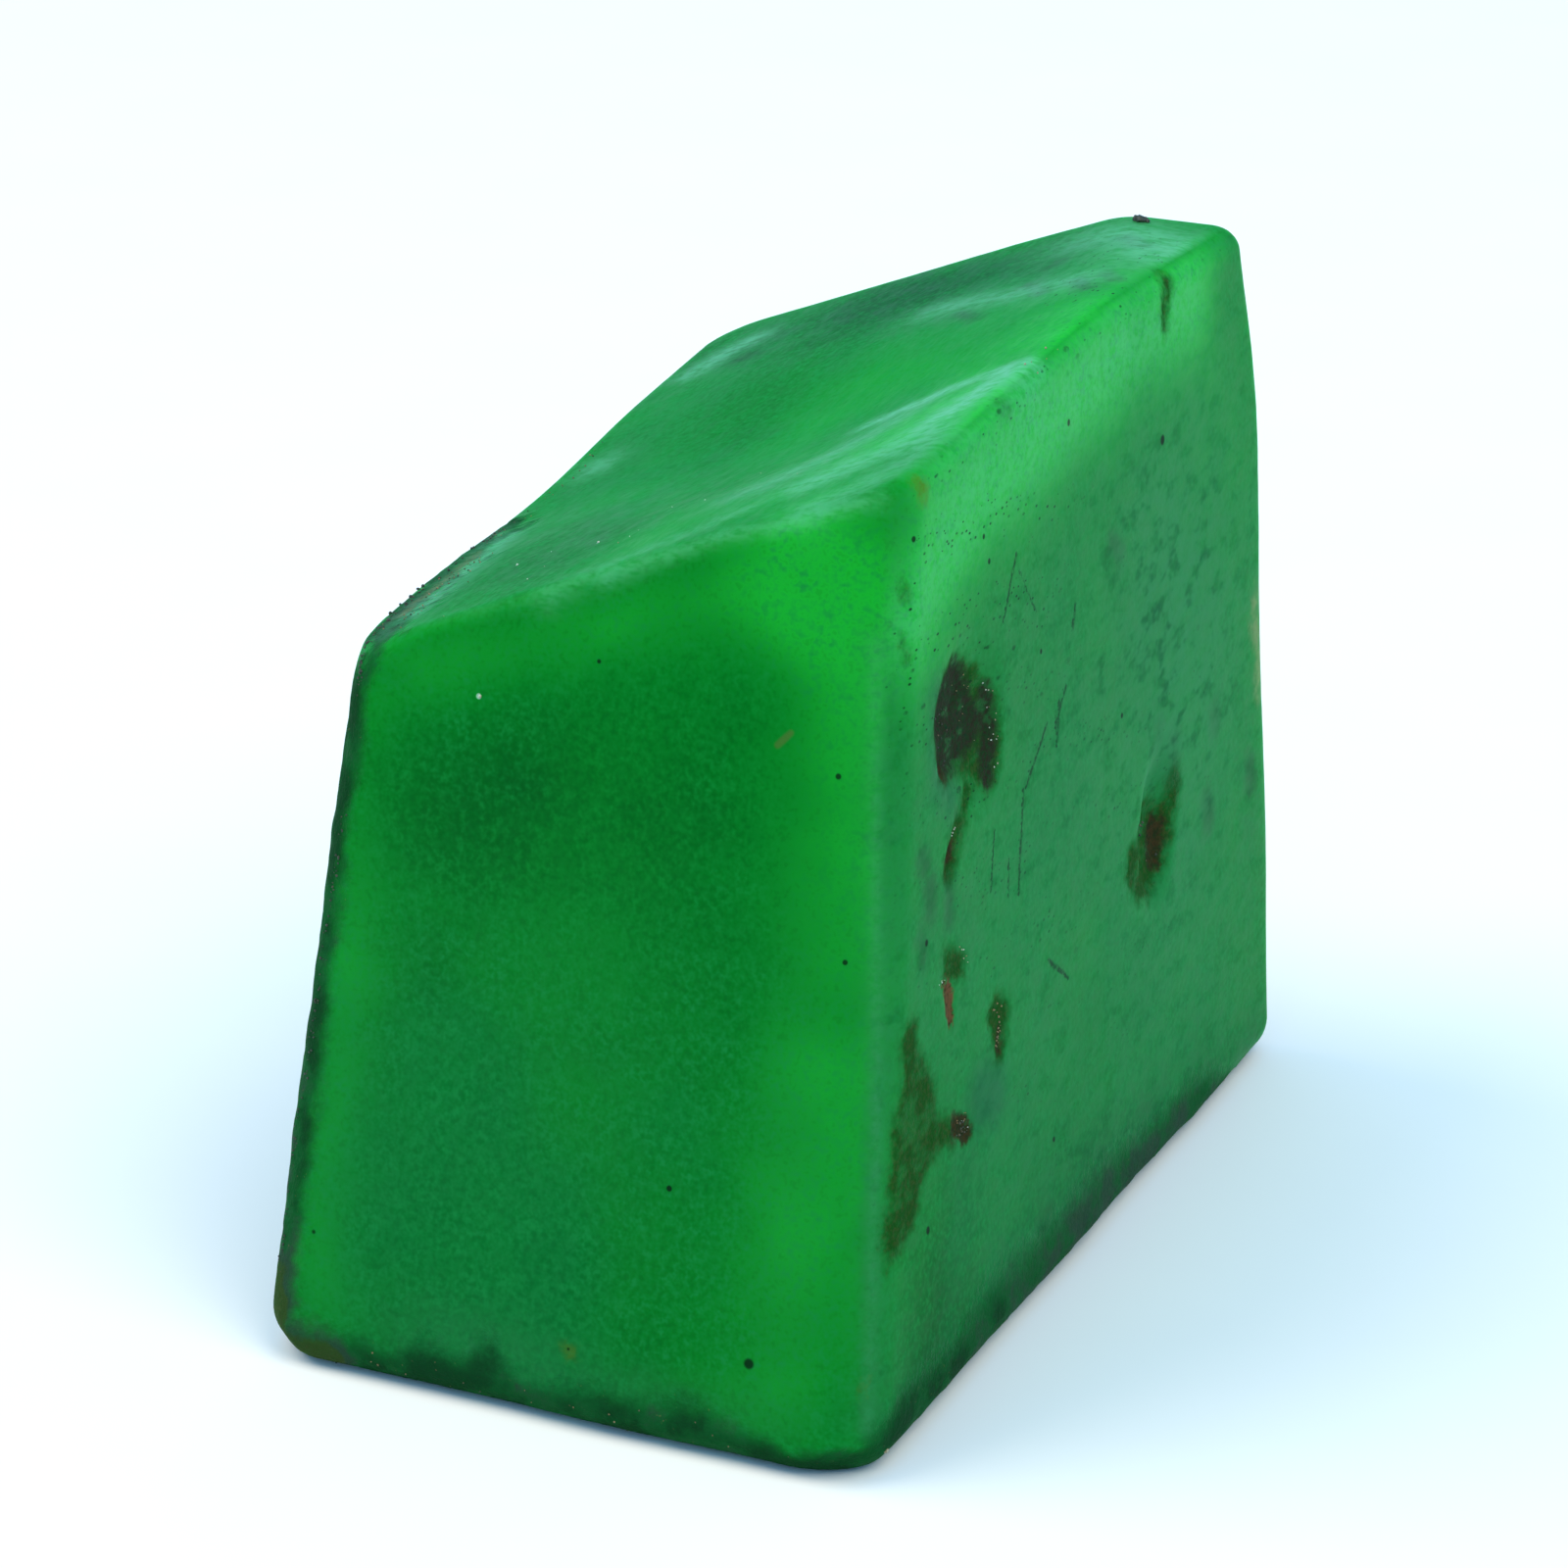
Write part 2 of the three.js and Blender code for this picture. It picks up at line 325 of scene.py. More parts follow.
EDGE_STAINS = [
    ("olive", 0.04, [(8.65, 10.3, 30.5), (8.8, 9.9, 30)], 0.42),
    ("olive", 0.04, [(8.85, 9.75, 29.8), (8.88, 9.8, 29.15)], 0.28),
    ("yellow", 0, [(8.95, -10.25, 29.8), (9, -10.2, 29.6)], 0.3),
    ("yellow", 0, [(0.8, -18.3, 2.7), (0.9, -18.3, 2.6)], 0.12),
    ("yellow", 0, [(10.3, -17.4, 3.2), (10.3, -17.4, 3)], 0.15),
    ("sand", 0, [(9.4, 17.4, 17.2), (9.8, 17.1, 16.3), (9.5, 17.6, 15.2), (9.8, 17.4, 13.8)], 0.2),
    ("sand", 0, [(-10.4, -18.5, 1.6), (-10.3, -18.6, 1.4)], 0.12),
    ("sand", 0, [(-8.5, -11.4, 23.3), (-8.4, -9, 23.6), (-8.5, -6.2, 23.7)], -0.2),
    # Soft dark smudges on the shelf and the rim.
    ("tint", 0, [(3.9, 11.6, 30), (4.1, 12.2, 30.1)], 0.3),
    ("tint", 0, [(6.1, 8.6, 30.7), (7, 7.4, 30.9)], 0.3),
    ("tint", 0, [(5.9, 13.6, 30.8), (6.6, 12.8, 30.8)], 0.35),
    ("tint", 0, [(2.1, 8.1, 29.2), (3.4, 6.6, 29.5)], 0.2),
    ("tint", 0, [(3.9, 9.9, 29.9), (5.2, 7.9, 30.3)], 0.2),
    ("tint", 0, [(7, 9, 30.9), (7.6, 8.2, 31)], 0.2),
    ("tint", 0, [(-6.7, 9.6, 25.9), (-6.4, 9.7, 26.1)], 0.35),
    ("tint", 0, [(8.84, -3.9, 30.3), (8.84, -3.6, 30.3)], 0.15),
]
BACK_STAINS = [
    ("olive", 0.08, [
        (-4.2, 19.2), (-3, 20.8), (-1.2, 21.2), (-0.4, 20.2), (0.9, 19.8), (0.6, 18.8), (-0.8, 18.4),
        (-1.4, 17.2), (-2.4, 16.9), (-2.8, 18.2)]),
    ("rust", 0.12, [(-2.9, 19.4), (-1.8, 20.2), (-0.9, 19.6), (-1.6, 18.6), (-2.4, 18.4)]),
    ("olive", 0.04, [(4.9, 9.6), (5.7, 10.4), (6.4, 9.4), (6.3, 7.9), (5.6, 6.2), (5, 5.8), (4.6, 7.4)]),
    ("umber", 0.1, [(5.2, 8.9), (5.8, 9.2), (5.9, 8), (5.4, 7.3)]),
    ("tint", 0, [(-6, 9), (-5.6, 8)], 0.5),
    ("olive", 0.02, [(1.6, 13.6), (2, 12.2)], 0.3),
]
LEFT_STAINS = [
    ("olive", 0.05, [
        (1.4, 8.2), (2.8, 9.6), (4.2, 9), (5.9, 8.6), (6.4, 7.2), (5, 6.4), (3.9, 6.9), (2.4, 6.3)]),
    ("rust", 0.12, [(2.6, 8.4), (3.8, 8.2), (4.3, 7.4), (3.2, 7.2)]),
    ("umber", 0.1, [(-6.6, 15.6), (-5.6, 16.8), (-4.6, 16), (-4.9, 14.2), (-5.7, 13.2), (-6.3, 14.2)]),
    ("tint", 0, [(9, 14), (9.3, 12.8)], 0.5),
]
STAINS = {"right": RIGHT_STAINS, "space": EDGE_STAINS, "back": BACK_STAINS, "left": LEFT_STAINS}
STAIN_KINDS = ("olive", "umber", "rust", "chip", "tint", "smudge", "yellow", "sand")
STAIN_REACH = 1.3
# A pit's wall, from its outer to its inner edge, and its rough floor.
PIT_WALL = (-0.1, 0.3)
PIT_RAGGED = 0.08
PIT_FLOOR = 0.07
PIT_LEAST = 0.03

# Soft places. Ovals: wall, middle (along, up), half sizes, turn in degrees if any, strength. Lines: wall,
# places (along, up), half width, strength. "top" places are (across, along), "space" places (x, y, z).
LEFT_EDGE = [(-10.4, -18, 3), (-10, -17.2, 10)]
TOP_LEFT_CORNER = [(-8.3, 9.4, 25.2), (-7.9, 10.8, 25.5), (-7.2, 11.8, 25.8)]
LEFT_FOOT = [(-10.6, -18, 2.4), (-9.6, -18.4, 0.8), (-8, -18.6, 0.4)]
# The front-right edge: the lighter green and pale line laid along it are painted glow of light through the
# edge and a painted highlight on its rounding.
FRONT_RIGHT_EDGE = [(10.6, -17.6, 2), (10, -15.7, 10.5), (9.3, -14.2, 18.3), (8.5, -12.6, 25.5)]
RIM = [(8.9, -10.4, 29.9), (8.8, -7, 30.2), (8.7, 0, 30.7), (8.6, 7, 30.8), (8.5, 15.7, 30.3)]
# Ridge lines on the top: the pale lines laid along them are painted highlights where the ridges catch the
# light.
FRONT_RIDGE = [
    (-9, -12.5, 22.7), (-7.3, -12.8, 23.6), (-5.4, -13, 24.4), (-3.6, -13.1, 25), (-2.3, -13, 25.5),
]
MIDDLE_RIDGE = [
    (-2.3, -13, 25.5), (-0.7, -12.5, 26.5), (0.5, -11.7, 27), (1.9, -11, 27.6), (3, -10.1, 28.1),
]
STRIP = [(-8.3, -12.6, 23.1), (-8.6, -10.8, 23.3), (-8.7, -8.5, 23.5), (-8.9, -6, 23.5), (-9.2, -3.4, 23.5)]
STRIP_INSIDE = [(-7.9, -11.6, 23.5), (-7.7, -9.5, 23.7), (-7.8, -7.2, 23.9), (-8.3, -4.6, 23.8)]
STRIP_CRACK = [(-9, -12.5, 22.7), (-8.9, -11.7, 23), (-8.1, -11.3, 23.5), (-7.3, -10.9, 23.9)]
# The crest wedge by the right rim: the pale streaks laid on it are painted highlights, partly frosted wear.
WEDGE_TOP = [(8.2, -0.5, 30.8), (6.7, -0.7, 30.2), (5.6, -0.7, 29.6), (4.2, -0.8, 28.8), (2.9, -1.1, 28.1)]
WEDGE_MIDDLE = [(8, -1.6, 30.7), (7.1, -4.7, 30.1), (6.7, -6.7, 29.8), (5.8, -7.6, 29.4), (4.6, -8.8, 28.9)]
WEDGE_SHINE = [(7.9, -1.4, 30.6), (7.6, -3, 30.4), (7.2, -4.8, 30.2)]
WEDGE_SIDE = [(4.8, -1.8, 29), (4.2, -3.8, 28.6), (3.6, -5.8, 28.3), (2.2, -7.6, 27.5)]
HAZE_BAND = [(6.5, 8.6, 30.8), (4.8, 8.7, 30.2), (2.8, 9.1, 29.5), (0.9, 9.4, 28.8)]
# The front-top edge: a painted highlight is laid along it.
FRONT_TOP_EDGE = [
    (-0.4, -12.8, 26.3), (1.5, -12.5, 27.2), (3.3, -12.1, 28), (4.8, -12.1, 28.5), (8.1, -11.6, 29.7),
]
# Near the rim by the front corner: pale scuffs and painted sheen of reflected light.
RIM_SCUFF_AND_SHEEN = [(7.9, -6.6, 30.4), (7.8, -9.2, 30), (7, -10.7, 29.6), (5.9, -11.4, 29.2)]
# The mint band under the right rim: its lighter green is painted glow of light coming in through the top,
# with pale scuffs.
MINT_LINE = [(-11.5, 26), (-9.4, 27.2), (-6.2, 28.2), (-3, 28.3), (0.3, 28.6), (4.8, 29.1), (12, 29.4)]
MINT_EDGE = [(-9, 28.8), (-5, 29.4), (0, 29.7), (6, 29.9)]

# Bluer stone.
BLUISH = [
    ("front", (-3.5, 7), (6.5, 8.5), 0.5),
    ("front", (1, 20), (10, 5.5), -0.7),
    ("right", (4, 12), (12, 10), 0.3),
]

# Lighter and darker stone: clouds in the stone, painted glow where light passes through the thin edges, and
# painted shade along the foot.
CLOUDS_GLOW_AND_SHADE = [
    # Painted glow on the front wall: lighter near its right edge, its top right and its left edge, where
    # light comes through the stone, and darker in the thick middle.
    ("front", (7.9, 22.5), (2, 5.5), 0.52),
    ("front", (8.2, 9), (2.2, 8), 0.6),
    ("front", (7, 26.8), (2.6, 2.2), -20, 1),
    ("front", (8.6, 14.6), (2.4, 1.3), -0.2),
    ("front", (-8.2, 12), (1.3, 9), 0.4),
    ("front", (-8.2, 5), (1.6, 4), 0.25),
    ("front", (-4.4, 18.8), (3.2, 3.6), -0.38),
    ("front", (2.6, 19.5), (3.8, 3.4), -25, -0.22),
    ("front", [(-6, 22.6), (0, 25), (6, 27.6)], 1.4, 0.45),
    # Painted shade: a darker band along the foot of the front wall.
    ("front", [(-10, 0.3), (-3, 0.5), (4, 0.2), (9, 0)], 1.3, -0.35),
    # Painted glow under the rim of the right wall, where light comes in through the top.
    ("right", MINT_LINE, 2.6, 0.85),
    ("right", MINT_EDGE, 1, 0.25),
    ("right", (-5.5, 29), (4, 1.2), 0.5),
    ("right", (-9.5, 27.6), (2.6, 1.6), 15, 0.4),
    ("right", (-15, 20), (1.2, 6), 0.25),
    ("right", (13.5, 26), (2.2, 4.5), 0.15),
    ("right", (14.8, 11), (1.6, 8), 0.1),
    ("right", (-2.5, 18), (6.5, 6), -0.15),
    ("right", (2, 6), (12, 5), -0.16),
    ("right", (-1, 3), (6.5, 1.6), -0.25),
    ("right", (9, 21), (4, 5), -0.12),
    ("right", (-10, 7), (3.5, 4.5), -0.2),
    ("right", (-13, 3.5), (3, 4), -0.3),
    ("left", (-2, 12), (9, 7), 0.2),
    ("back", (4, 17), (4, 8), 0.4),
    ("back", (-3, 8), (5, 6), -0.35),
    # Painted shade: a darker band along the foot of the right wall.
    ("right", [(-17, 0.8), (-6, 1.3), (6, 1.2), (15, 0.8)], 2.1, -0.45),
    # Painted glow along the front-right edge and the right rim, where light passes through the thin edges.
    ("space", FRONT_RIGHT_EDGE, 1, 0.3),
    ("space", RIM, 0.7, 0.35),
    # Painted light: the top lighter along its right rim and toward the front corner.
    ("top", [(7.2, -6), (7.8, 2), (7.5, 13)], 2.4, 0.5),
    ("top", [(0, -10.5), (4, -9), (7, -4)], 2, 0.3),
    ("top", (1.5, 3), (4.5, 5), 0.35),
    ("top", (-4.5, -8), (3.5, 4), -0.3),
    ("top", (-3.5, 4), (3.5, 5), -0.2),
    ("top", (-2, 12.2), (7.6, 3.8), -0.6),
    ("space", [(5.2, -11.4, 28.8), (7.6, -10, 29.6)], 1, 0.4),
]

# A thin grey-green veil: worn skin, and painted sheen of reflected light on the walls seen at a low angle.
HAZE_AND_SHEEN = [
    ("right", (0, 12), (40, 40), 0.5),
    ("right", (10, 19), (6, 8), 0.4),
    ("right", (-12.5, 4), (3.6, 5), -0.3),
    ("left", (0, 12), (40, 40), 0.4),
    ("back", (0, 12), (40, 40), 0.4),
    ("back_left", (0, 12), (40, 40), 0.35),
    ("right", MINT_LINE, 2.2, -0.35),
    ("space", FRONT_RIGHT_EDGE, 0.8, 0.22),
    ("front", (-2.5, 2), (3.5, 1.4), 0.4),
    ("front", (4.5, 1.6), (3.5, 1), 0.3),
    ("front", (-1, 10), (7, 9), 0.2),
    ("front", (-8, 8), (3, 9), 0.14),
    ("front", (8, 8), (2, 9), 0.1),
    ("top", (0, 0), (40, 40), 0.06),
    ("top", (6, 10), (4, 5), 0.35),
    ("top", (-7, 5), (2, 8), 0.25),
    ("space", STRIP_INSIDE, 1.2, 0.6),
]

# Pale places: frosted scuffs, and painted highlights along the ridges, the crest and the rounded edges.
SCUFFS_AND_HIGHLIGHTS = [
    ("right", MINT_LINE, 1.6, 0.28),
    ("right", MINT_EDGE, 0.9, 0.1),
    ("space", FRONT_RIGHT_EDGE, 0.25, 0.15),
    ("space", FRONT_RIDGE, 0.32, 0.1),
    ("space", MIDDLE_RIDGE, 0.55, 0.3),
    ("space", WEDGE_SHINE, 0.6, 0.4),
    ("space", WEDGE_TOP, 0.5, 0.8),
    ("space", WEDGE_MIDDLE, 1.05, 0.64),
    ("space", WEDGE_SIDE, 1.3, 0.45),
    ("space", FRONT_TOP_EDGE, 0.35, 0.35),
    ("space", STRIP_INSIDE, 0.6, 0.5),
    ("space", STRIP, 0.6, 0.15),
    ("space", HAZE_BAND, 1.1, 0.5),
    ("space", RIM_SCUFF_AND_SHEEN, 0.9, 0.4),
    ("space", TOP_LEFT_CORNER, 0.8, 0.7),
    ("top", (-8.2, 1.8), (0.8, 1.2), 0.5),
    ("top", (7.6, 12.2), (1.6, 1.9), 0.7),
    ("top", (5.5, 14.2), (2.6, 1.6), 0.6),
]

# Places strewn with dark specks.
PEPPER = [
    ("right", (-6, 25.6), (5.5, 3.6), 1),
    ("right", (-10, 21), (3.6, 6), 0.4),
    ("right", (0, 14), (15, 13), 0.45),
    ("space", RIM, 0.5, 0.45),
    ("top", (6.8, 9.5), (2.8, 6), 0.75),
    ("space", STRIP, 0.9, 0.9),
]

# How much higher the dark foot reaches than its usual millimetre. The dark foot is crust and painted shade
# under the rounded base edge.
FOOT = [
    ("front", (-4.3, 0), (0.8, 30), 0.4),
    ("front", (-2, 0), (0.7, 30), 1),
    ("front", (1.5, 0), (1.4, 30), 0.25),
    ("front", (4.9, 0), (1.6, 30), 0.5),
    ("front", (9, 0), (2, 30), -0.25),
    ("front", (-9, 0), (1.8, 30), 0.2),
    ("right", (-15.5, 0), (3, 30), 0.55),
    ("right", (-8, 0), (5, 30), 0.9),
    ("right", (1, 0), (5.5, 30), 0.95),
    ("right", (9, 0), (3, 30), 0.5),
    ("right", (15.5, 0), (2.6, 30), -0.8),
]

# Where the dark skin is browner, and olive where it is most so.
BROWN_CRUST = [
    ("space", LEFT_FOOT, 1.1, 1.9),
    ("right", (2, 0), (14, 30), 0.8),
    ("space", LEFT_EDGE, 1.5, 0.35),
    ("space", STRIP, 1.1, 0.75),
]


# Seeded noises of the skin: size of the lumps, seed, layers.
NOISE_TABLE = 32
NOISE_PEAK = 1.6
BLOTCH_NOISE = (4.2, 11, 5)
FINE_NOISE = (0.7, 21, 3)
GRITTY_NOISE = (0.5, 31, 2)
LUMP_NOISE = (1.4, 51, 3)
WAVE_NOISE = (0.9, 61, 2)
CLOUD_NOISE = (2.6, 41, 4)
BLUISH_NOISE = (3.6, 51, 3)
PEPPER_NOISE = (2.5, 61, 2)
TONE_NOISE = (1.3, 81, 3)
STRIP_NOISE = (0.4, 71, 3)

# The crust: where each part of it fades in, in millimetres or as a value of the blotches.
LEFT_CRUST = (-1.95, -0.6)
LEFT_GAPS = (0.0, 0.7)
LEFT_GAP_DEPTH = 0.55
LEFT_FACING = (0.9, 0.98)
# The dark foot along the base is crust and painted shade under the rounded base edge.
FOOT_HEIGHT = 1.1
FOOT_FADE = (0.5, 1.85)
BACK_LEFT_CRUST = (-0.5, 0.5)
BACK_CRUST = (0.0, 1.0)
STRIP_CRUST = (1.4, 0.2)
CRACK_CRUST = (0.24, 0.06)

# Relief in millimetres: the crust's grit and lumps, and the waves of the whole skin, none at the base.
CRUST_GRIT = 0.035
CRUST_LUMPS = 0.045
SKIN_WAVES = 0.011
FLAT_BASE = (0.02, 0.5)
ON_WALL = (0.55, 0.85)


def smooth(low, high, value):
    """0 at low to 1 at high, with soft ends."""
    t = np.clip((value - low) / (high - low), 0, 1)
    return t * t * (3 - 2 * t)


def lattice_noise(p, size, seed):
    """Smooth seeded noise from -1 to 1, with lumps of about that size."""
    table = np.random.default_rng(seed).uniform(-1, 1, (NOISE_TABLE,) * 3)
    q = p / size
    cell = np.floor(q).astype(int)
    f = q - cell
    f = f * f * (3 - 2 * f)
    total = np.zeros(len(p))
    for offset in itertools.product((0, 1), repeat=3):
        weight = np.prod(np.where(offset, f, 1 - f), axis=1)
        i, j, k = ((cell + offset) % NOISE_TABLE).T
        total += weight * table[i, j, k]
    return total


def rough_noise(p, size, seed, layers):
    """Lattice noise with finer, weaker layers on top."""
    return sum(lattice_noise(p, size / 2**i, seed + i) / 2**i for i in range(layers)) / NOISE_PEAK


def line_distance(q, line):
    """The distance of places from a line through the given corners, on a wall or in space."""
    nearest = np.full(len(q), np.inf)
    for start, end in zip(np.array(line), np.array(line[1:])):
        run = end - start
        share = np.clip((q - start) @ run / (run @ run), 0, 1)
        nearest = np.minimum(nearest, np.linalg.norm(q - start - share[:, None] * run, axis=1))
    return nearest


def outline_depth(q, outline):
    """How far inside a closed outline the places are, negative outside."""
    inside = np.zeros(len(q), bool)
    for start, end in zip(outline, outline[1:] + outline[:1]):
        if start[1] != end[1]:
            crossing = start[0] + (q[:, 1] - start[1]) * (end[0] - start[0]) / (end[1] - start[1])
            inside ^= ((start[1] > q[:, 1]) != (end[1] > q[:, 1])) & (q[:, 0] < crossing)
    nearest = line_distance(q, outline + outline[:1])
    return np.where(inside, nearest, -nearest)


def on_wall(wall, p, n):
    """1 where the surface belongs to that wall or top, fading to 0 round the edges."""
    if wall == "space":
        return 1
    facing = n @ PLANES["slope" if wall == "top" else wall][0]
    return smooth(*ON_WALL, facing)


def wall_places(wall, p):
    return p if wall == "space" else np.stack(along_wall(wall, p), axis=1)


def stain_depth(wall, p, n, shape, radius=None):
    """How far inside a stain the points are, in millimetres, negative outside."""
    places = wall_places(wall, p)
    depth = radius - line_distance(places, shape) if radius else outline_depth(places, shape)
    share = on_wall(wall, p, n)
    return np.maximum(depth, -STAIN_REACH) * share - STAIN_REACH * (1 - share)


def patches(soft_places, p, n):
    """The strengths of all those soft places, added up."""
    total = np.zeros(len(p))
    for wall, *shape, strength in soft_places:
        if isinstance(shape[0], list):
            line, width = shape
            squares = (line_distance(wall_places(wall, p), line) / width) ** 2
        else:
            squares = oval(wall, p, *shape)
        total += strength * np.exp(-squares) * on_wall(wall, p, n)
    return total


def crust_and_foot_shade_share(p, n):
    """0 on clean stone to 1 on the dark, rough skin of the left wall, the base and parts of the back; at the
    base it is also painted shade under the rounded edge.
    """
    blotch = rough_noise(p, *BLOTCH_NOISE)
    fine = rough_noise(p, *FINE_NOISE)
    left = smooth(*LEFT_CRUST, distance("left", p) + 0.35 * fine + 0.25 * blotch)
    left = left * (1 - on_wall("top", p, n))
    gaps = smooth(*LEFT_GAPS, blotch) * smooth(*LEFT_FACING, n @ PLANES["left"][0])
    left = left * (1 - LEFT_GAP_DEPTH * gaps)
    # The dark foot: crust, and painted shade under the rounded base edge.
    foot = FOOT_HEIGHT + 0.25 * blotch + 0.25 * fine + patches(FOOT, p, n)
    base = 1 - smooth(FOOT_FADE[0] * foot, FOOT_FADE[1] * foot, p[:, 2])
    back_left = on_wall("back_left", p, n) * (0.3 + 0.55 * smooth(*BACK_LEFT_CRUST, blotch))
    back = on_wall("back", p, n) * smooth(*BACK_CRUST, blotch) * 0.75
    ragged = 1.3 * rough_noise(p * (1, 0.5, 1), *STRIP_NOISE)
    strip = smooth(*STRIP_CRUST, line_distance(p, STRIP) + ragged)
    crack = smooth(*CRACK_CRUST, line_distance(p, STRIP_CRACK) + 0.1 * fine)
    return np.max((left, base, back_left, back, strip, crack), axis=0)


def add_object(name, data):
    made = bpy.data.objects.new(name, data)
    bpy.context.scene.collection.objects.link(made)
    return made


def mesh_object(name, mesh_name, corners, faces, fields):
    """An object from corners in millimetres, with a value per corner for each field."""
    mesh = bpy.data.meshes.new(mesh_name)
    mesh.from_pydata((corners * MM).tolist(), [], faces.tolist())
    for field, values in fields.items():
        mesh.attributes.new(field, "FLOAT", "POINT").data.foreach_set("value", values.astype(np.float32))
    return add_object(name, mesh)


def build_stone():
    """The dressed stone: the worn block with its pits sunk in and its skin roughened."""
    shares, quads = block_grid(*STEPS)
    p = worn_points(block_points(shares))
    n = facing_out(p)

    fields = {kind: np.full(len(p), -STAIN_REACH) for kind in STAIN_KINDS}
    relief = np.zeros(len(p))
    gritty = rough_noise(p, *GRITTY_NOISE)
    for wall, stains in STAINS.items():
        for kind, recess, *shape in stains:
            depth = stain_depth(wall, p, n, *shape)
            fields[kind] = np.maximum(fields[kind], depth)
            sunk = smooth(*PIT_WALL, depth + PIT_RAGGED * gritty)
            relief -= sunk * (recess + PIT_FLOOR * gritty * (recess > PIT_LEAST))
    fields["crust_and_foot_shade"] = crust_and_foot_shade_share(p, n)
    fields["cloud_glow_shade"] = patches(CLOUDS_GLOW_AND_SHADE, p, n) + 0.2 * rough_noise(p, *CLOUD_NOISE)
    fields["bluish"] = patches(BLUISH, p, n) + 0.4 * rough_noise(p * (1, 1, 0.7), *BLUISH_NOISE)
    fields["haze_and_sheen"] = patches(HAZE_AND_SHEEN, p, n)
    fields["scuff_and_highlight"] = patches(SCUFFS_AND_HIGHLIGHTS, p, n)
    fields["pepper"] = patches(PEPPER, p, n) + 0.35 * rough_noise(p, *PEPPER_NOISE)
    fields["crust_tone"] = patches(BROWN_CRUST, p, n) + rough_noise(p, *TONE_NOISE)

    over_base = smooth(*FLAT_BASE, p[:, 2])
    crust_relief = CRUST_GRIT * gritty + CRUST_LUMPS * rough_noise(p, *LUMP_NOISE)
    relief += fields["crust_and_foot_shade"] * crust_relief * over_base
    relief += SKIN_WAVES * rough_noise(p, *WAVE_NOISE) * over_base
    p = p + n * relief[:, None]
    p[:, 2] = np.maximum(p[:, 2], 0)
    low, high = p.min(axis=0), p.max(axis=0)
    p[:, :2] -= (low[:2] + high[:2]) / 2

    stone = mesh_object("emerald_stone", "stone", p, quads, fields)
    stone.data.shade_smooth()
    return stone


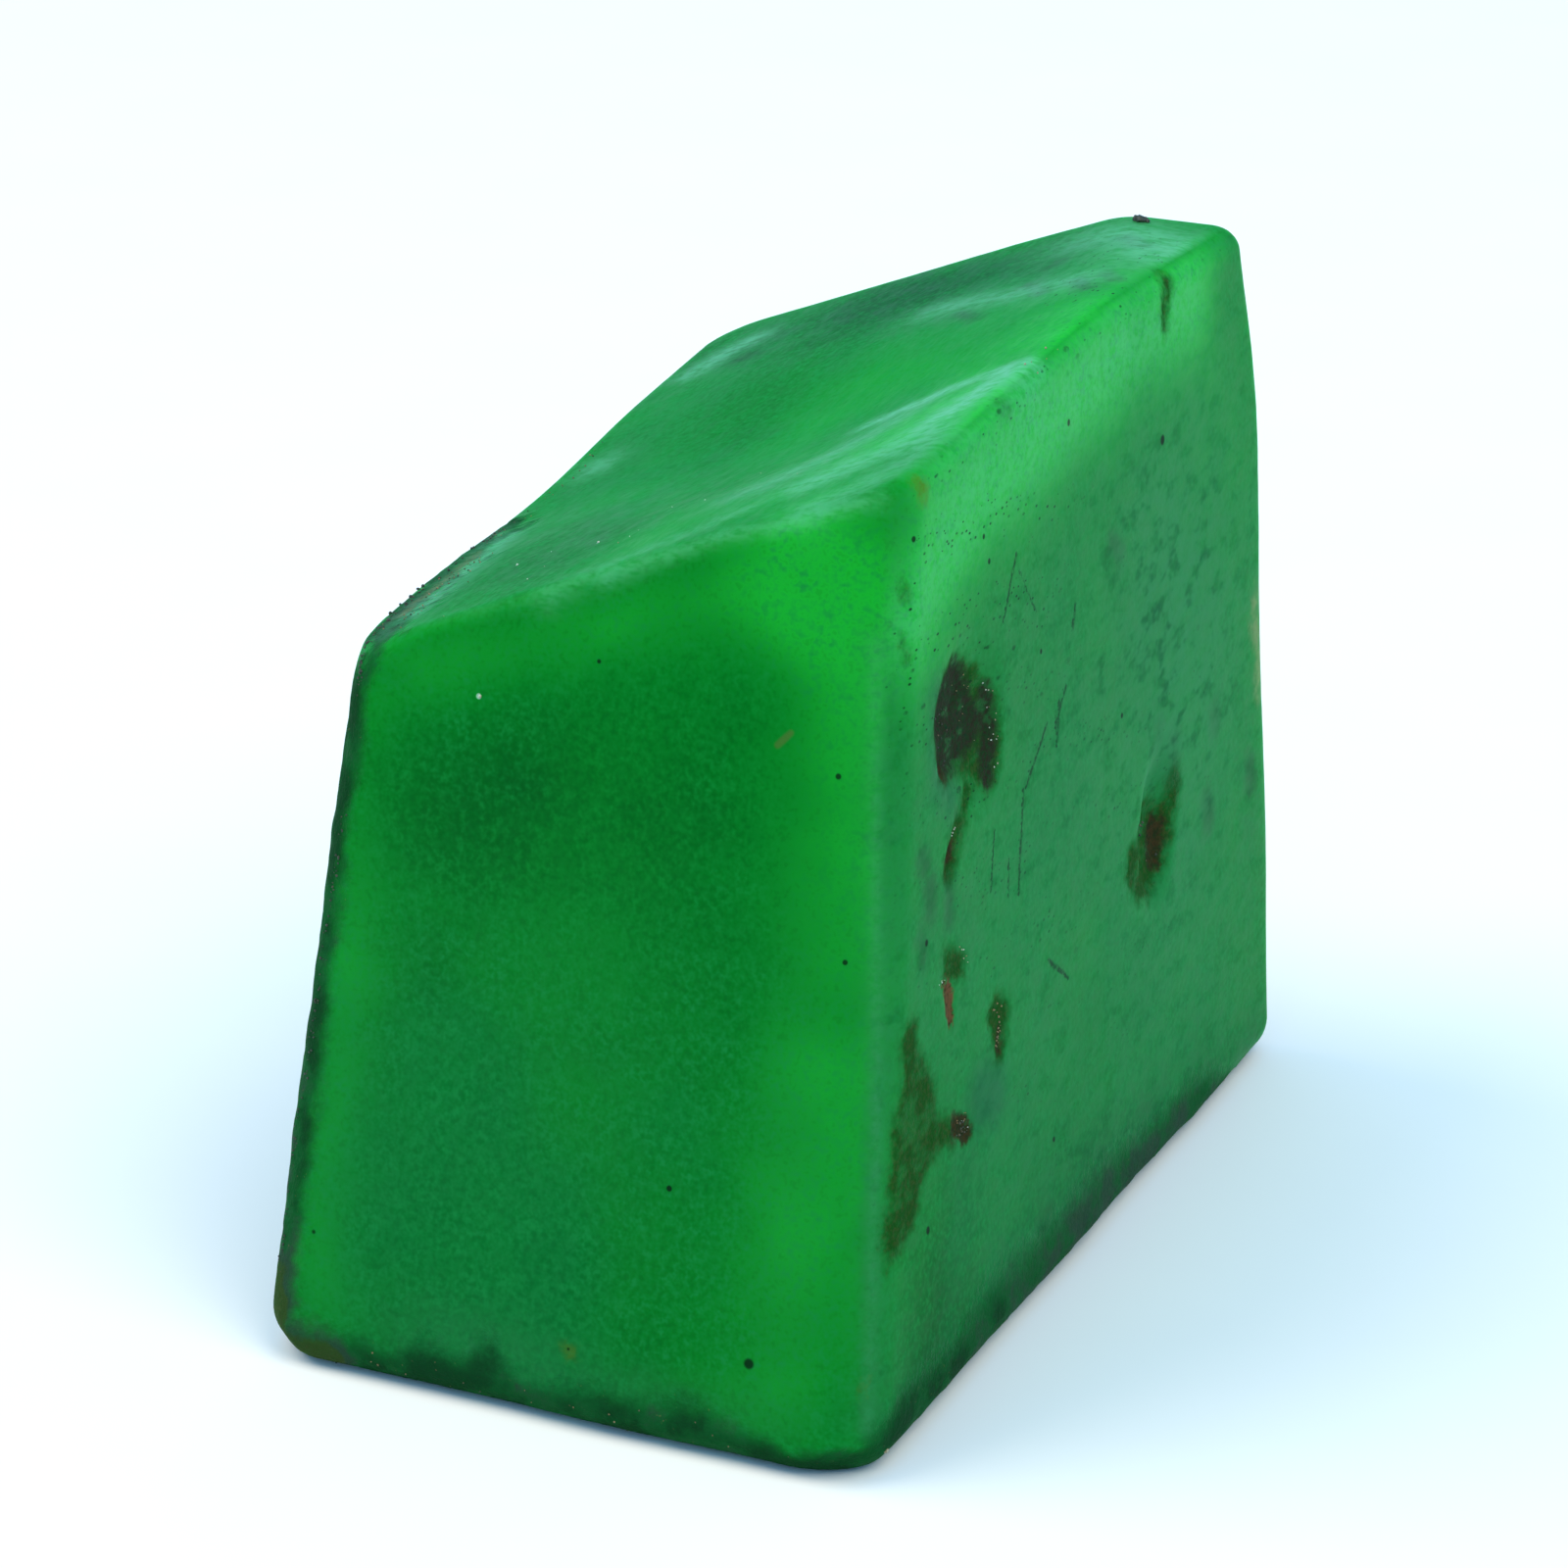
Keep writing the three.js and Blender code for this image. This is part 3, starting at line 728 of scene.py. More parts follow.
# ---- Grit: small angular grains stuck in the pits and along the rough edges ----
# Groups: a line of places in the part's frame, how many, smallest and largest radius, spread, tone.
# Tone: 0 dark, 0.5 brown sand, 1 pale quartz.
GRIT = [
    ([(9.8, -6.6, 11.6), (10, -7.1, 10.2)], 20, (0.02, 0.045), 0.2, (0.25, 0.6)),
    ([(10, -10.4, 9.2), (10.1, -9.6, 8.9), (10.2, -9.7, 8.3)], 10, (0.015, 0.03), 0.1, (0.4, 0.85)),
    ([(10.1, -10.2, 8.8), (10.1, -10, 8.5)], 8, (0.03, 0.06), 0.2, (0.05, 0.25)),
    ([(9.5, -5.9, 22.1), (9.6, -5.8, 20.6), (9.7, -5.9, 19.2)], 16, (0.015, 0.035), 0.12, (0.55, 0.9)),
    ([(9.5, -7.6, 22.6), (9.6, -6.6, 21)], 10, (0.015, 0.03), 0.4, (0.3, 0.7)),
    ([(9.6, -9.3, 22.5), (9.7, -9, 20.6)], 16, (0.02, 0.045), 0.35, (0, 0.2)),
    ([(9.7, -9.2, 18.5), (9.7, -9.6, 18.3)], 5, (0.02, 0.035), 0.1, (0.5, 0.85)),
    ([(10, -9.5, 14.6), (10, -9.2, 13.9)], 6, (0.015, 0.03), 0.12, (0.5, 0.85)),
    ([(10, -11.2, 14.2), (10, -10.6, 14)], 6, (0.015, 0.03), 0.1, (0.6, 0.9)),
    ([(10.1, 6.6, 12.7), (10.1, 7.2, 11.4)], 8, (0.03, 0.07), 0.3, (0.05, 0.2)),
    ([(8.3, -1, 30.4), (8.4, 1.5, 30.6)], 6, (0.02, 0.05), 0.2, (0.3, 0.8)),
    ([(5.25, 15.8, 31), (5.7, 15.8, 31)], 7, (0.09, 0.2), 0.1, (0, 0.05)),
    ([(-9.2, -14.6, 21.8), (-8.9, -12.4, 22.9), (-8.9, -9, 23.3), (-9.1, -3, 23.6)],
     90, (0.02, 0.06), 0.12, (0, 0.15)),
    ([(-9.6, -16, 18), (-10.4, -18, 3)], 90, (0.02, 0.05), 0.14, (0, 0.12)),
    ([(-8.9, -6, 24), (-9, 4, 24.2)], 24, (0.02, 0.04), 0.12, (0, 0.4)),
    ([(-8.2, -12.2, 23.4), (-8.1, -9.4, 23.6), (-7.9, -7, 23.9)], 50, (0.015, 0.04), 0.35, (0, 0.6)),
    ([(-4.38, -13.8, 22.1), (-4.3, -13.8, 22.1)], 1, (0.06, 0.06), 0, (0.75, 0.75)),
    ([(-2.66, -8.98, 25.87), (-2.6, -8.98, 25.87)], 1, (0.05, 0.05), 0, (0.8, 0.8)),
    ([(-5.42, -9.18, 24.73), (-5.4, -9.18, 24.73)], 1, (0.04, 0.04), 0, (0.8, 0.8)),
    ([(-6.5, -12, 24.2), (2.5, -6, 27.5)], 12, (0.015, 0.03), 1.2, (0.6, 0.9)),
    ([(11, -17, 0.8), (11.1, -16.6, 0.7)], 3, (0.05, 0.08), 0.1, (0.6, 0.8)),
    ([(-9, -18.2, 0.7), (8, -18.4, 0.6)], 20, (0.02, 0.04), 0.35, (0.1, 0.6)),
    ([(-10.6, 2.4, 8.2), (-10.5, 5, 7.2)], 16, (0.03, 0.08), 0.6, (0.1, 0.5)),
    ([(-10.3, -5.6, 16.4), (-10.3, -5.2, 13.8)], 14, (0.03, 0.07), 0.4, (0.05, 0.45)),
    ([(-2.8, 17.9, 19.6), (-0.8, 17.8, 19)], 18, (0.03, 0.08), 0.6, (0.1, 0.55)),
    ([(5.4, 17.6, 9.4), (5.6, 17.6, 7)], 12, (0.03, 0.07), 0.4, (0.05, 0.45)),
    ([(-9.2, -11.3, 22.9), (-9.25, -9.8, 23.05), (-9.15, -8.6, 23.2)], 6, (0.05, 0.11), 0.05, (0, 0.1)),
]
# How much of a grain's height is sunk in the stone, and how far it departs from a ball.
GRIT_SUNK = 0.35
GRIT_SEED = 7
GRIT_SIDES = (0.7, 1.15)
GRIT_CORNERS = (0.8, 1.15)
EVEN_COUNT = 4


def grain_shape():
    """Corners and faces of the many-sided form that each grain is pushed out of."""
    shape = bmesh.new()
    bmesh.ops.create_icosphere(shape, subdivisions=1, radius=1)
    shape.verts.index_update()
    corners = np.array([v.co[:] for v in shape.verts])
    faces = np.array([[v.index for v in f.verts] for f in shape.faces])
    shape.free()
    return corners, faces


def line_point(line, share):
    """The place at that share of a line's pieces."""
    at = share * (len(line) - 1)
    i = min(int(at), len(line) - 2)
    return np.array(line[i]) * (1 - at + i) + np.array(line[i + 1]) * (at - i)


def build_grit(stone):
    """All grains as one mesh, each seated on the stone's surface."""
    rng = np.random.default_rng(GRIT_SEED)
    surface = BVHTree.FromPolygons(
        [v.co[:] for v in stone.data.vertices], [p.vertices[:] for p in stone.data.polygons]
    )
    corners, faces = grain_shape()
    all_corners, all_faces, tones = [], [], []
    for line, count, radii, spread, tone in GRIT:
        for i in range(count):
            share = rng.uniform() if count > EVEN_COUNT else (i + 0.5) / count
            place = line_point(line, share) + rng.normal(0, 1, 3) * spread
            radius = rng.uniform(*radii)
            at, normal, _, _ = surface.find_nearest(Vector(place * MM))
            centre = np.array(at) / MM + np.array(normal) * radius * (1 - 2 * GRIT_SUNK)
            turn, _ = np.linalg.qr(rng.normal(0, 1, (3, 3)))
            size = radius * rng.uniform(*GRIT_SIDES, 3)
            grain = corners * rng.uniform(*GRIT_CORNERS, (len(corners), 1)) * size
            all_faces.append(faces + len(corners) * len(all_corners))
            all_corners.append(grain @ turn * np.sign(np.linalg.det(turn)) + centre)
            tones.append(np.full(len(corners), rng.uniform(*tone)))
    all_corners, all_faces, tones = (np.concatenate(part) for part in (all_corners, all_faces, tones))
    return mesh_object("matrix_grit", "grit", all_corners, all_faces, {"tone": tones})


# ---- Materials ----
class Nodes:
    """A new material, with short names for the node kinds used here. Lengths are in millimetres."""

    def __init__(self, name):
        self.material = bpy.data.materials.new(name)
        self.material.use_nodes = True
        self.tree = self.material.node_tree
        self.tree.nodes.clear()
        coordinates = self.add("TexCoord").outputs["Object"]
        self.place = self.vector("SCALE", {0: coordinates, "Scale": 1 / MM})

    def add(self, kind, inputs=None, **settings):
        made = self.tree.nodes.new("ShaderNode" + kind)
        for name, value in settings.items():
            setattr(made, name, value)
        for key, value in (inputs or {}).items():
            if isinstance(value, bpy.types.NodeSocket):
                self.tree.links.new(value, made.inputs[key])
            else:
                made.inputs[key].default_value = value
        return made

    def finished(self, inputs):
        """The material, with those inputs to its principled shader."""
        shader = self.add("BsdfPrincipled", inputs)
        self.add("OutputMaterial", {"Surface": shader.outputs[0]})
        return self.material

    def field(self, name):
        return self.add("Attribute", attribute_name=name).outputs["Fac"]

    def math(self, operation, a, b, clamp=False):
        return self.add("Math", {0: a, 1: b}, operation=operation, use_clamp=clamp).outputs[0]

    def times(self, a, b, clamp=False):
        return self.math("MULTIPLY", a, b, clamp)

    def largest(self, values):
        total = values[0]
        for value in values[1:]:
            total = self.math("MAXIMUM", total, value)
        return total

    def vector(self, operation, inputs):
        return self.add("VectorMath", inputs, operation=operation).outputs[0]

    def span(self, operation, a, b):
        """A number from two vectors."""
        return self.add("VectorMath", {0: a, 1: b}, operation=operation).outputs["Value"]

    def between(self, value, low, high, out_low=0.0, out_high=1.0):
        """value from low..high to out_low..out_high, smoothly, held at both ends."""
        inputs = {"Value": value, "From Min": low, "From Max": high, "To Min": out_low, "To Max": out_high}
        return self.add("MapRange", inputs, interpolation_type="SMOOTHSTEP").outputs["Result"]

    def mix(self, share, a, b):
        return self.add("Mix", {0: share, 6: a, 7: b}, data_type="RGBA").outputs[2]

    def layered(self, value, colour, layers):
        """Colours laid over each other as the value rises through the layers' ranges."""
        for limits, top in layers:
            colour = self.mix(self.between(value, *limits), colour, top)
        return colour

    def noise(self, size, detail, roughness, scale=None, place=None):
        """Noise with lumps of that size, on a place that may be scaled first."""
        at = place or self.place
        if scale:
            at = self.vector("MULTIPLY", {0: at, 1: scale})
        inputs = {"Vector": at, "Scale": 1 / size, "Detail": detail, "Roughness": roughness}
        return self.add("TexNoise", inputs).outputs["Fac"]

    def bump(self, height, depth):
        return self.add("Bump", {"Height": height, "Strength": 1.0, "Distance": depth * MM}).outputs[0]

    def spots(self, place, size, rarity, largest):
        """Scattered round specks: cells of that size, the share left empty, the largest radius."""
        cells = self.add("TexVoronoi", {"Vector": place, "Scale": 1 / size, "Randomness": 1.0})
        chance = self.add("SeparateColor", {0: cells.outputs["Color"]}).outputs[0]
        radius = self.between(chance, rarity, 1.0, 0.0, largest / size)
        gap = self.math("SUBTRACT", radius, cells.outputs["Distance"])
        return self.between(gap, 0.0, SPOT_EDGE * largest / size)

    def ball(self, at, radius):
        """1 inside a ball, with a soft edge."""
        gap = self.span("DISTANCE", self.place, at)
        return self.between(gap, radius * BALL_EDGE[0], radius * BALL_EDGE[1], 1.0, 0.0)

    def stroke(self, place, start, end, radius):
        """1 along a straight scratch, with a soft edge."""
        run = np.array(end) - np.array(start)
        from_start = self.vector("SUBTRACT", {0: place, 1: start})
        reach = self.span("DOT_PRODUCT", from_start, tuple(run / (run @ run)))
        share = self.math("ADD", reach, 0.0, clamp=True)
        nearest = self.vector("SCALE", {0: tuple(run), "Scale": share})
        gap = self.span("DISTANCE", from_start, nearest)
        return self.between(gap, radius * STROKE_EDGE[0], radius * STROKE_EDGE[1], 1.0, 0.0)


# Soft edges of the single marks, as shares of their radius.
SPOT_EDGE = 0.35
BALL_EDGE = (0.7, 1.25)
STROKE_EDGE = (0.4, 1.4)

# Colours, linear.
GREEN_DEEP = (0.0003, 0.058, 0.006, 1)
GREEN_MIDDLE = (0.0006, 0.18, 0.0115, 1)
GREEN_BRIGHT = (0.009, 0.40, 0.026, 1)
GREEN_BLUISH = (0.0006, 0.145, 0.028, 1)
FLECK_GREEN = (0.003, 0.225, 0.022, 1)
FLECK_PALE = (0.006, 0.235, 0.043, 1)
SMUDGE = (0.003, 0.060, 0.022, 1)
TINT = (0.006, 0.055, 0.008, 1)
OLIVE = (0.008, 0.055, 0.006, 1)
OLIVE_BROWN = (0.026, 0.056, 0.010, 1)
UMBER = (0.021, 0.018, 0.011, 1)
UMBER_GREEN = (0.011, 0.030, 0.010, 1)
RUST_DARK = (0.017, 0.018, 0.007, 1)
RUST_RED = (0.038, 0.020, 0.008, 1)
CHIP_RED = (0.125, 0.050, 0.025, 1)
CRUST_DARK = (0.004, 0.034, 0.010, 1)
CRUST_GREEN = (0.0045, 0.078, 0.017, 1)
CRUST_BROWN = (0.024, 0.040, 0.030, 1)
CRUST_OLIVE = (0.030, 0.052, 0.010, 1)
CRUST_PINK = (0.20, 0.12, 0.07, 1)
# Grey-green of the haze, partly a painted sheen.
HAZE_SHEEN_GREEN = (0.022, 0.185, 0.062, 1)
# Pale of the scuffs and of the painted highlights.
SCUFF_HIGHLIGHT_PALE = (0.12, 0.46, 0.26, 1)
YELLOW_BROWN = (0.075, 0.125, 0.003, 1)
SAND = (0.26, 0.27, 0.13, 1)
SPECK_DARK = (0.003, 0.028, 0.010, 1)
BROWN_MARK = (0.10, 0.12, 0.03, 1)
BLACK = (0.003, 0.006, 0.005, 1)
WHITE = (0.40, 0.70, 0.50, 1)

# Noises of the stone's material: size of the lumps, detail, roughness, and how the place is scaled. The
# right wall and the top are seen at a low angle along Y, so their marks are drawn out that way.
MOTTLE = (0.66, 2.0, 0.65, (1, 0.5, 0.9))
GRAIN = (0.22, 1.0, 0.7)
RAGGED = (0.45, 3.0, 0.7)
FINE = (0.17, 1.0, 0.6)
STREAK = (0.5, 2.0, 0.65, (1, 0.5, 0.8))
SCUFF_STREAK = (0.34, 2.0, 0.65)
SCORING = (0.3, 1.0, 0.65, (1, 0.4, 1))
PITTING = (0.28, 2.0, 0.7)
# The streaks of the scuffs and painted highlights run slantwise over the top, turned this far about the
# upright axis.
SCUFF_TURN = math.radians(-45)
SCUFF_SCALE = (0.4, 1, 1.2)
SPECK_SCALE = (1, 0.5, 1)

# How a noise or field becomes a share: its values at both ends, then the shares there if not 0 and 1.
BLUISH_SHARE = (0, 0.5, 0, 0.55)
FLECK_SHARE = (0.36, 0.8, 0, 0.85)
FLECKS_IN_MOTTLE = (0.25, 0.7, 0.35, 1)
FLECKS_BY_CLOUD_GLOW = (-0.7, 0.1, 0.55, 1)
FLECK_TONE = (-0.7, 0.1)
GRAIN_SHADE = (0.25, 0.46, 0.2, 0)
CRUST_SHARE = (0.05, 0.95, 0, 0.94)
CRUST_SPARKS = (0.74, 0.8, 0, 0.4)
HAZE_STREAKS = (0.25, 0.75, 0.75, 1.1)
HAZE_ON_CRUST = (0, 1, 1, 0.12)
BLOTCHES = (0.5, 0.7, 0, 0.95)
SCUFF_SHARE = (0.3, 0.62, 0.35, 1)
SPECK_SHADE = (0.36, 0.6, 0.45, 1)
SPECK_SHARE = (0.1, 0.8, 0, 0.95)
SCRATCH_SHARE = (0.3, 0.55, 0.3, 0.85)
# Roughness of clean stone, by the mottle, and what haze and stains add to it.
GLOSS = (0.3, 0.7, 0.36, 0.48)
HAZE_ROUGHNESS = 0.1
STAIN_ROUGHNESS = 0.3
# How much of the glow from within a stain or a scuff covers.
STAIN_COVER = 0.85
SCUFF_COVER = 0.5
# Relief in millimetres.
SCORING_DEPTH = 0.016
PIT_DEPTH = (0, 0.4, 0.006, 0.12)

# Colours laid over deep green in the clouds and painted glow, and over dark skin in the crust and painted
# foot shade.
GLOW_AND_CLOUD_LAYERS = [((-0.75, 0.15), GREEN_MIDDLE), ((-0.1, 1.1), GREEN_BRIGHT)]
CRUST_LAYERS = [
    ((-0.15, 0.55), CRUST_GREEN),
    ((0.3, 0.9, 0, 0.85), CRUST_BROWN),
    ((1.1, 1.5, 0, 0.9), CRUST_OLIVE),
]

# Stains: where they begin and are full, in millimetres inside the drawn edge, and their strength, which
# for some follows the mottle.
STAIN_LOOKS = {
    "smudge": ((-0.9, 0.7), 0.75),
    "tint": ((-0.45, 0.4), 0.85),
    "olive": ((-0.38, 0.34), (0.34, 0.56, 0.66, 0.95)),
    "umber": ((-0.28, 0.24), (0.3, 0.42, 0.6, 0.97)),
    "rust": ((-0.18, 0.14), 0.95),
    "chip": ((-0.12, 0.1), 0.95),
    "yellow": ((-0.35, 0.35), 0.75),
    "sand": ((-0.7, 0.5), (0.36, 0.56, 0.2, 0.65)),
}
STAIN_RAGGED = 0.9
CRUST_RAGGED = 0.5
# The pits' colours, from the palest stain to the deepest: each turns to the second in the fine noise.
PIT_COLOURS = {
    "olive": ((0.45, 0.65), OLIVE, OLIVE_BROWN),
    "umber": ((0.4, 0.62), UMBER, UMBER_GREEN),
    "rust": ((0.35, 0.65), RUST_DARK, RUST_RED),
    "chip": ((0.4, 0.7), CHIP_RED, RUST_RED),
}

# Specks: size of the cells, the share left empty, the largest radius.
TINY_SPECKS = (0.2, 0.05, 0.056)
LARGE_SPECKS = (0.8, 0.35, 0.14)
LARGE_SPECK_SHARE = 0.72
SCRATCH_BEND = 0.3
SCUFF_STRENGTH = 0.8
BROWN_STRENGTH = 0.5
BLACK_STRENGTH = 0.9
PALE_STRENGTH = 0.7

# Dots: centre and radius.
BLACK_DOTS = [
    ((6.89, -18.12, 3.44), 0.18), ((0.77, -18.3, 2.68), 0.07), ((-0.36, -13.5, 23.8), 0.09),
    ((7.94, -13.95, 21.6), 0.1), ((8.73, -15.1, 16.1), 0.09), ((3.66, -17, 8.27), 0.1),
    ((-8.59, -17.9, 4.54), 0.1), ((10.7, -13.2, 6.62), 0.14), ((10.06, -12.1, 15.8), 0.12),
    ((9.2, -6, 26.9), 0.09), ((9.25, -5.7, 26), 0.1), ((9.06, -11, 28.4), 0.1),
    ((9.1, 9.2, 25.4), 0.18), ((9, 1.2, 28.4), 0.12), ((9.5, -1.9, 21.75), 0.09),
    ((9.75, 4.6, 17.3), 0.1), ((10.7, -3, 5.3), 0.1),
]
PALE_DOTS = [
    ((-4.38, -13.8, 22.1), 0.09),
    ((-2.66, -8.98, 25.87), 0.06),
    ((-5.42, -9.18, 24.73), 0.06),
]
# Strokes: start, end and radius.
BROWN_STROKE = ((5.85, -13.75, 22.2), (6.25, -13.75, 22.65), 0.12)
SCRATCHES = [
    ((9.25, -3.4, 25.7), (9.4, -4.7, 23.9), 0.08), ((9.25, -3.3, 25.2), (9.4, -2, 23.3), 0.056),
    ((9.4, 1.2, 22.5), (9.5, 0.9, 21.8), 0.096), ((9.6, 0.1, 20.1), (9.7, -1, 19.1), 0.08),
    ((9.65, -0.5, 19.8), (9.75, -1, 18.5), 0.096), ((9.7, -1.6, 19.4), (9.8, -3.6, 18), 0.072),
    ((9.8, -3.8, 18), (10.05, -4.6, 14.7), 0.08), ((9.85, -6.2, 17.5), (10, -6.7, 15.6), 0.056),
    ((9.66, -0.94, 19.44), (9.75, -0.94, 18.43), 0.06), ((9.93, -5.2, 16.1), (10, -5.4, 14.9), 0.06),
    ((10.25, -2.5, 11.6), (10.3, -0.9, 10.35), 0.096),
]


class Emerald(Nodes):
    """The noises and shares that the parts of the emerald's material have in common."""

    def __init__(self, name):
        super().__init__(name)
        self.mottle = self.noise(*MOTTLE)
        self.fine = self.noise(*FINE)
        self.ragged = self.times(self.math("SUBTRACT", self.noise(*RAGGED), 0.5), STAIN_RAGGED)
        self.stains = {kind: self.stain(kind, *look) for kind, look in STAIN_LOOKS.items()}
        crust_edge = self.math("ADD", self.field("crust_and_foot_shade"), self.times(self.ragged, CRUST_RAGGED))
        self.crust_and_foot_shade = self.between(crust_edge, *CRUST_SHARE)
        hard = [self.stains[kind] for kind in PIT_COLOURS]
        self.dull = self.largest([*hard, self.crust_and_foot_shade])
        self.clean = self.math("SUBTRACT", 1.0, self.largest(hard), clamp=True)
        haze_and_sheen = self.times(self.field("haze_and_sheen"), self.between(self.noise(*STREAK), *HAZE_STREAKS), clamp=True)
        haze_and_sheen = self.times(haze_and_sheen, self.clean)
        self.blotch = self.times(self.between(self.mottle, *BLOTCHES), haze_and_sheen)
        self.haze_and_sheen = self.times(haze_and_sheen, self.between(self.crust_and_foot_shade, *HAZE_ON_CRUST))
        turned = {"Vector": self.place, "Rotation": (0, 0, SCUFF_TURN), "Scale": SCUFF_SCALE}
        streak = self.noise(*SCUFF_STREAK, place=self.add("Mapping", turned).outputs[0])
        self.scuff_and_highlight = self.times(self.field("scuff_and_highlight"), self.between(streak, *SCUFF_SHARE), clamp=True)

    def stain(self, kind, edge, strength):
        if isinstance(strength, tuple):
            strength = self.between(self.mottle, *strength)
        depth = self.math("ADD", self.field(kind), self.ragged)
        return self.times(self.between(depth, *edge), strength)


def body_colour(n):
    """Clouds of deep and bright green, partly painted glow and shade, with fine pale grains."""
    cloud_glow_shade = n.field("cloud_glow_shade")
    bluish = n.field("bluish")
    grain = n.noise(*GRAIN)
    colour = n.layered(cloud_glow_shade, GREEN_DEEP, GLOW_AND_CLOUD_LAYERS)
    colour = n.mix(n.between(bluish, *BLUISH_SHARE), colour, GREEN_BLUISH)
    flecks = n.times(n.between(grain, *FLECK_SHARE), n.between(n.mottle, *FLECKS_IN_MOTTLE))
    flecks = n.times(flecks, n.between(cloud_glow_shade, *FLECKS_BY_CLOUD_GLOW))
    colour = n.mix(flecks, colour, n.mix(n.between(bluish, *FLECK_TONE), FLECK_GREEN, FLECK_PALE))
    return n.mix(n.between(grain, *GRAIN_SHADE), colour, GREEN_DEEP)


def stained_colour(n, colour):
    """Soft smudges, then the olive, brown and red matter of the pits."""
    colour = n.mix(n.stains["smudge"], colour, SMUDGE)
    colour = n.mix(n.stains["tint"], colour, TINT)
    for kind, (limits, first, second) in PIT_COLOURS.items():
        colour = n.mix(n.stains[kind], colour, n.mix(n.between(n.fine, *limits), first, second))
    return colour


def crusted_colour(n, colour):
    """The dark skin of the left wall, the foot and the back; at the foot it is also painted shade."""
    tone = n.math("ADD", n.field("crust_tone"), n.ragged)
    skin = n.layered(tone, CRUST_DARK, CRUST_LAYERS)
    skin = n.mix(n.between(n.fine, *CRUST_SPARKS), skin, CRUST_PINK)
    return n.mix(n.crust_and_foot_shade, colour, skin)


def worn_colour(n, colour):
    """A haze that is partly painted sheen, with soft dark blotches, pale scuffs and painted highlights in
    streaks, and yellow and sandy spots.
    """
    colour = n.mix(n.haze_and_sheen, colour, n.mix(n.blotch, HAZE_SHEEN_GREEN, SMUDGE))
    colour = n.mix(n.times(n.scuff_and_highlight, n.times(n.clean, SCUFF_STRENGTH)), colour, SCUFF_HIGHLIGHT_PALE)
    colour = n.mix(n.stains["yellow"], colour, YELLOW_BROWN)
    return n.mix(n.stains["sand"], colour, SAND)


def specks_and_scratches(n):
    lying = n.vector("MULTIPLY", {0: n.place, 1: SPECK_SCALE})
    large = n.times(n.spots(lying, *LARGE_SPECKS), LARGE_SPECK_SHARE)
    specks = n.math("MAXIMUM", n.spots(lying, *TINY_SPECKS), large)
    specks = n.times(specks, n.between(n.fine, *SPECK_SHADE))
    specks = n.times(specks, n.between(n.field("pepper"), *SPECK_SHARE))
    wander = n.add("CombineXYZ", {0: n.ragged, 1: n.fine, 2: n.mottle}).outputs[0]
    bent = n.vector("ADD", {0: n.place, 1: n.vector("SCALE", {0: wander, "Scale": SCRATCH_BEND})})
    scratches = n.largest([n.stroke(bent, *line) for line in SCRATCHES])
    return n.math("MAXIMUM", specks, n.times(scratches, n.between(n.fine, *SCRATCH_SHARE)))


def emerald_material():
    n = Emerald("cloudy_emerald")
    colour = stained_colour(n, body_colour(n))
    colour = worn_colour(n, crusted_colour(n, colour))
    dark_marks = specks_and_scratches(n)
    dots = n.largest([n.ball(*dot) for dot in BLACK_DOTS])
    pale_dots = n.largest([n.ball(*dot) for dot in PALE_DOTS])
    colour = n.mix(dark_marks, colour, SPECK_DARK)
    colour = n.mix(n.times(n.stroke(n.place, *BROWN_STROKE), BROWN_STRENGTH), colour, BROWN_MARK)
    colour = n.mix(n.times(dots, BLACK_STRENGTH), colour, BLACK)
    colour = n.mix(n.times(pale_dots, PALE_STRENGTH), colour, WHITE)

    roughness = n.math("ADD", n.between(n.mottle, *GLOSS), n.times(n.haze_and_sheen, HAZE_ROUGHNESS))
    roughness = n.math("ADD", roughness, n.times(n.dull, STAIN_ROUGHNESS), clamp=True)

    # Fine scoring and a pitted skin.
    pitted = n.largest([n.field(name) for name in ("olive", "umber", "rust", "crust_and_foot_shade")])
    pits = n.times(n.noise(*PITTING), n.between(pitted, *PIT_DEPTH))
    height = n.math("ADD", n.times(n.noise(*SCORING), SCORING_DEPTH), pits)

    covers = [n.times(n.dull, STAIN_COVER), n.times(n.scuff_and_highlight, SCUFF_COVER), dark_marks, dots]
    return n.finished({
        "Base Color": colour,
        "Roughness": roughness,
        "Normal": n.bump(height, 1.0),
        "IOR": 1.57,
        "Specular IOR Level": 0.018,
        "Specular Tint": (0.4, 1.0, 0.65, 1),
        "Subsurface Weight": n.math("SUBTRACT", 1.0, n.largest(covers), clamp=True),
        "Subsurface Radius": (0.25, 1.0, 0.45),
        "Subsurface Scale": 2.0 * MM,
    })


GRIT_DARK = (0.02, 0.03, 0.018, 1)
GRIT_BROWN = (0.24, 0.17, 0.07, 1)
GRIT_PALE = (0.75, 0.86, 0.74, 1)
GRIT_LAYERS = [((0.05, 0.5), GRIT_BROWN), ((0.6, 0.95), GRIT_PALE)]


def grit_material():
    n = Nodes("host_rock_grit")
    wander = n.between(n.noise(0.06, 2.0, 0.5), 0.2, 0.8, -0.12, 0.12)
    tone = n.math("ADD", n.field("tone"), wander)
    return n.finished({
        "Base Color": n.layered(tone, GRIT_DARK, GRIT_LAYERS),
        "Roughness": n.between(n.noise(0.05, 2.0, 0.5), 0.3, 0.7, 0.35, 0.75),
        "Normal": n.bump(n.noise(0.04, 3.0, 0.6), 0.01),
    })


FLOOR_TONES = ((0.90, 0.92, 0.93, 1), (0.93, 0.95, 0.95, 1))


def floor_material():
    n = Nodes("pale_floor")
    colour = n.mix(n.noise(9.0, 3.0, 0.5), *FLOOR_TONES)
    return n.finished({"Base Color": colour, "Roughness": 0.85, "Specular IOR Level": 0.1})


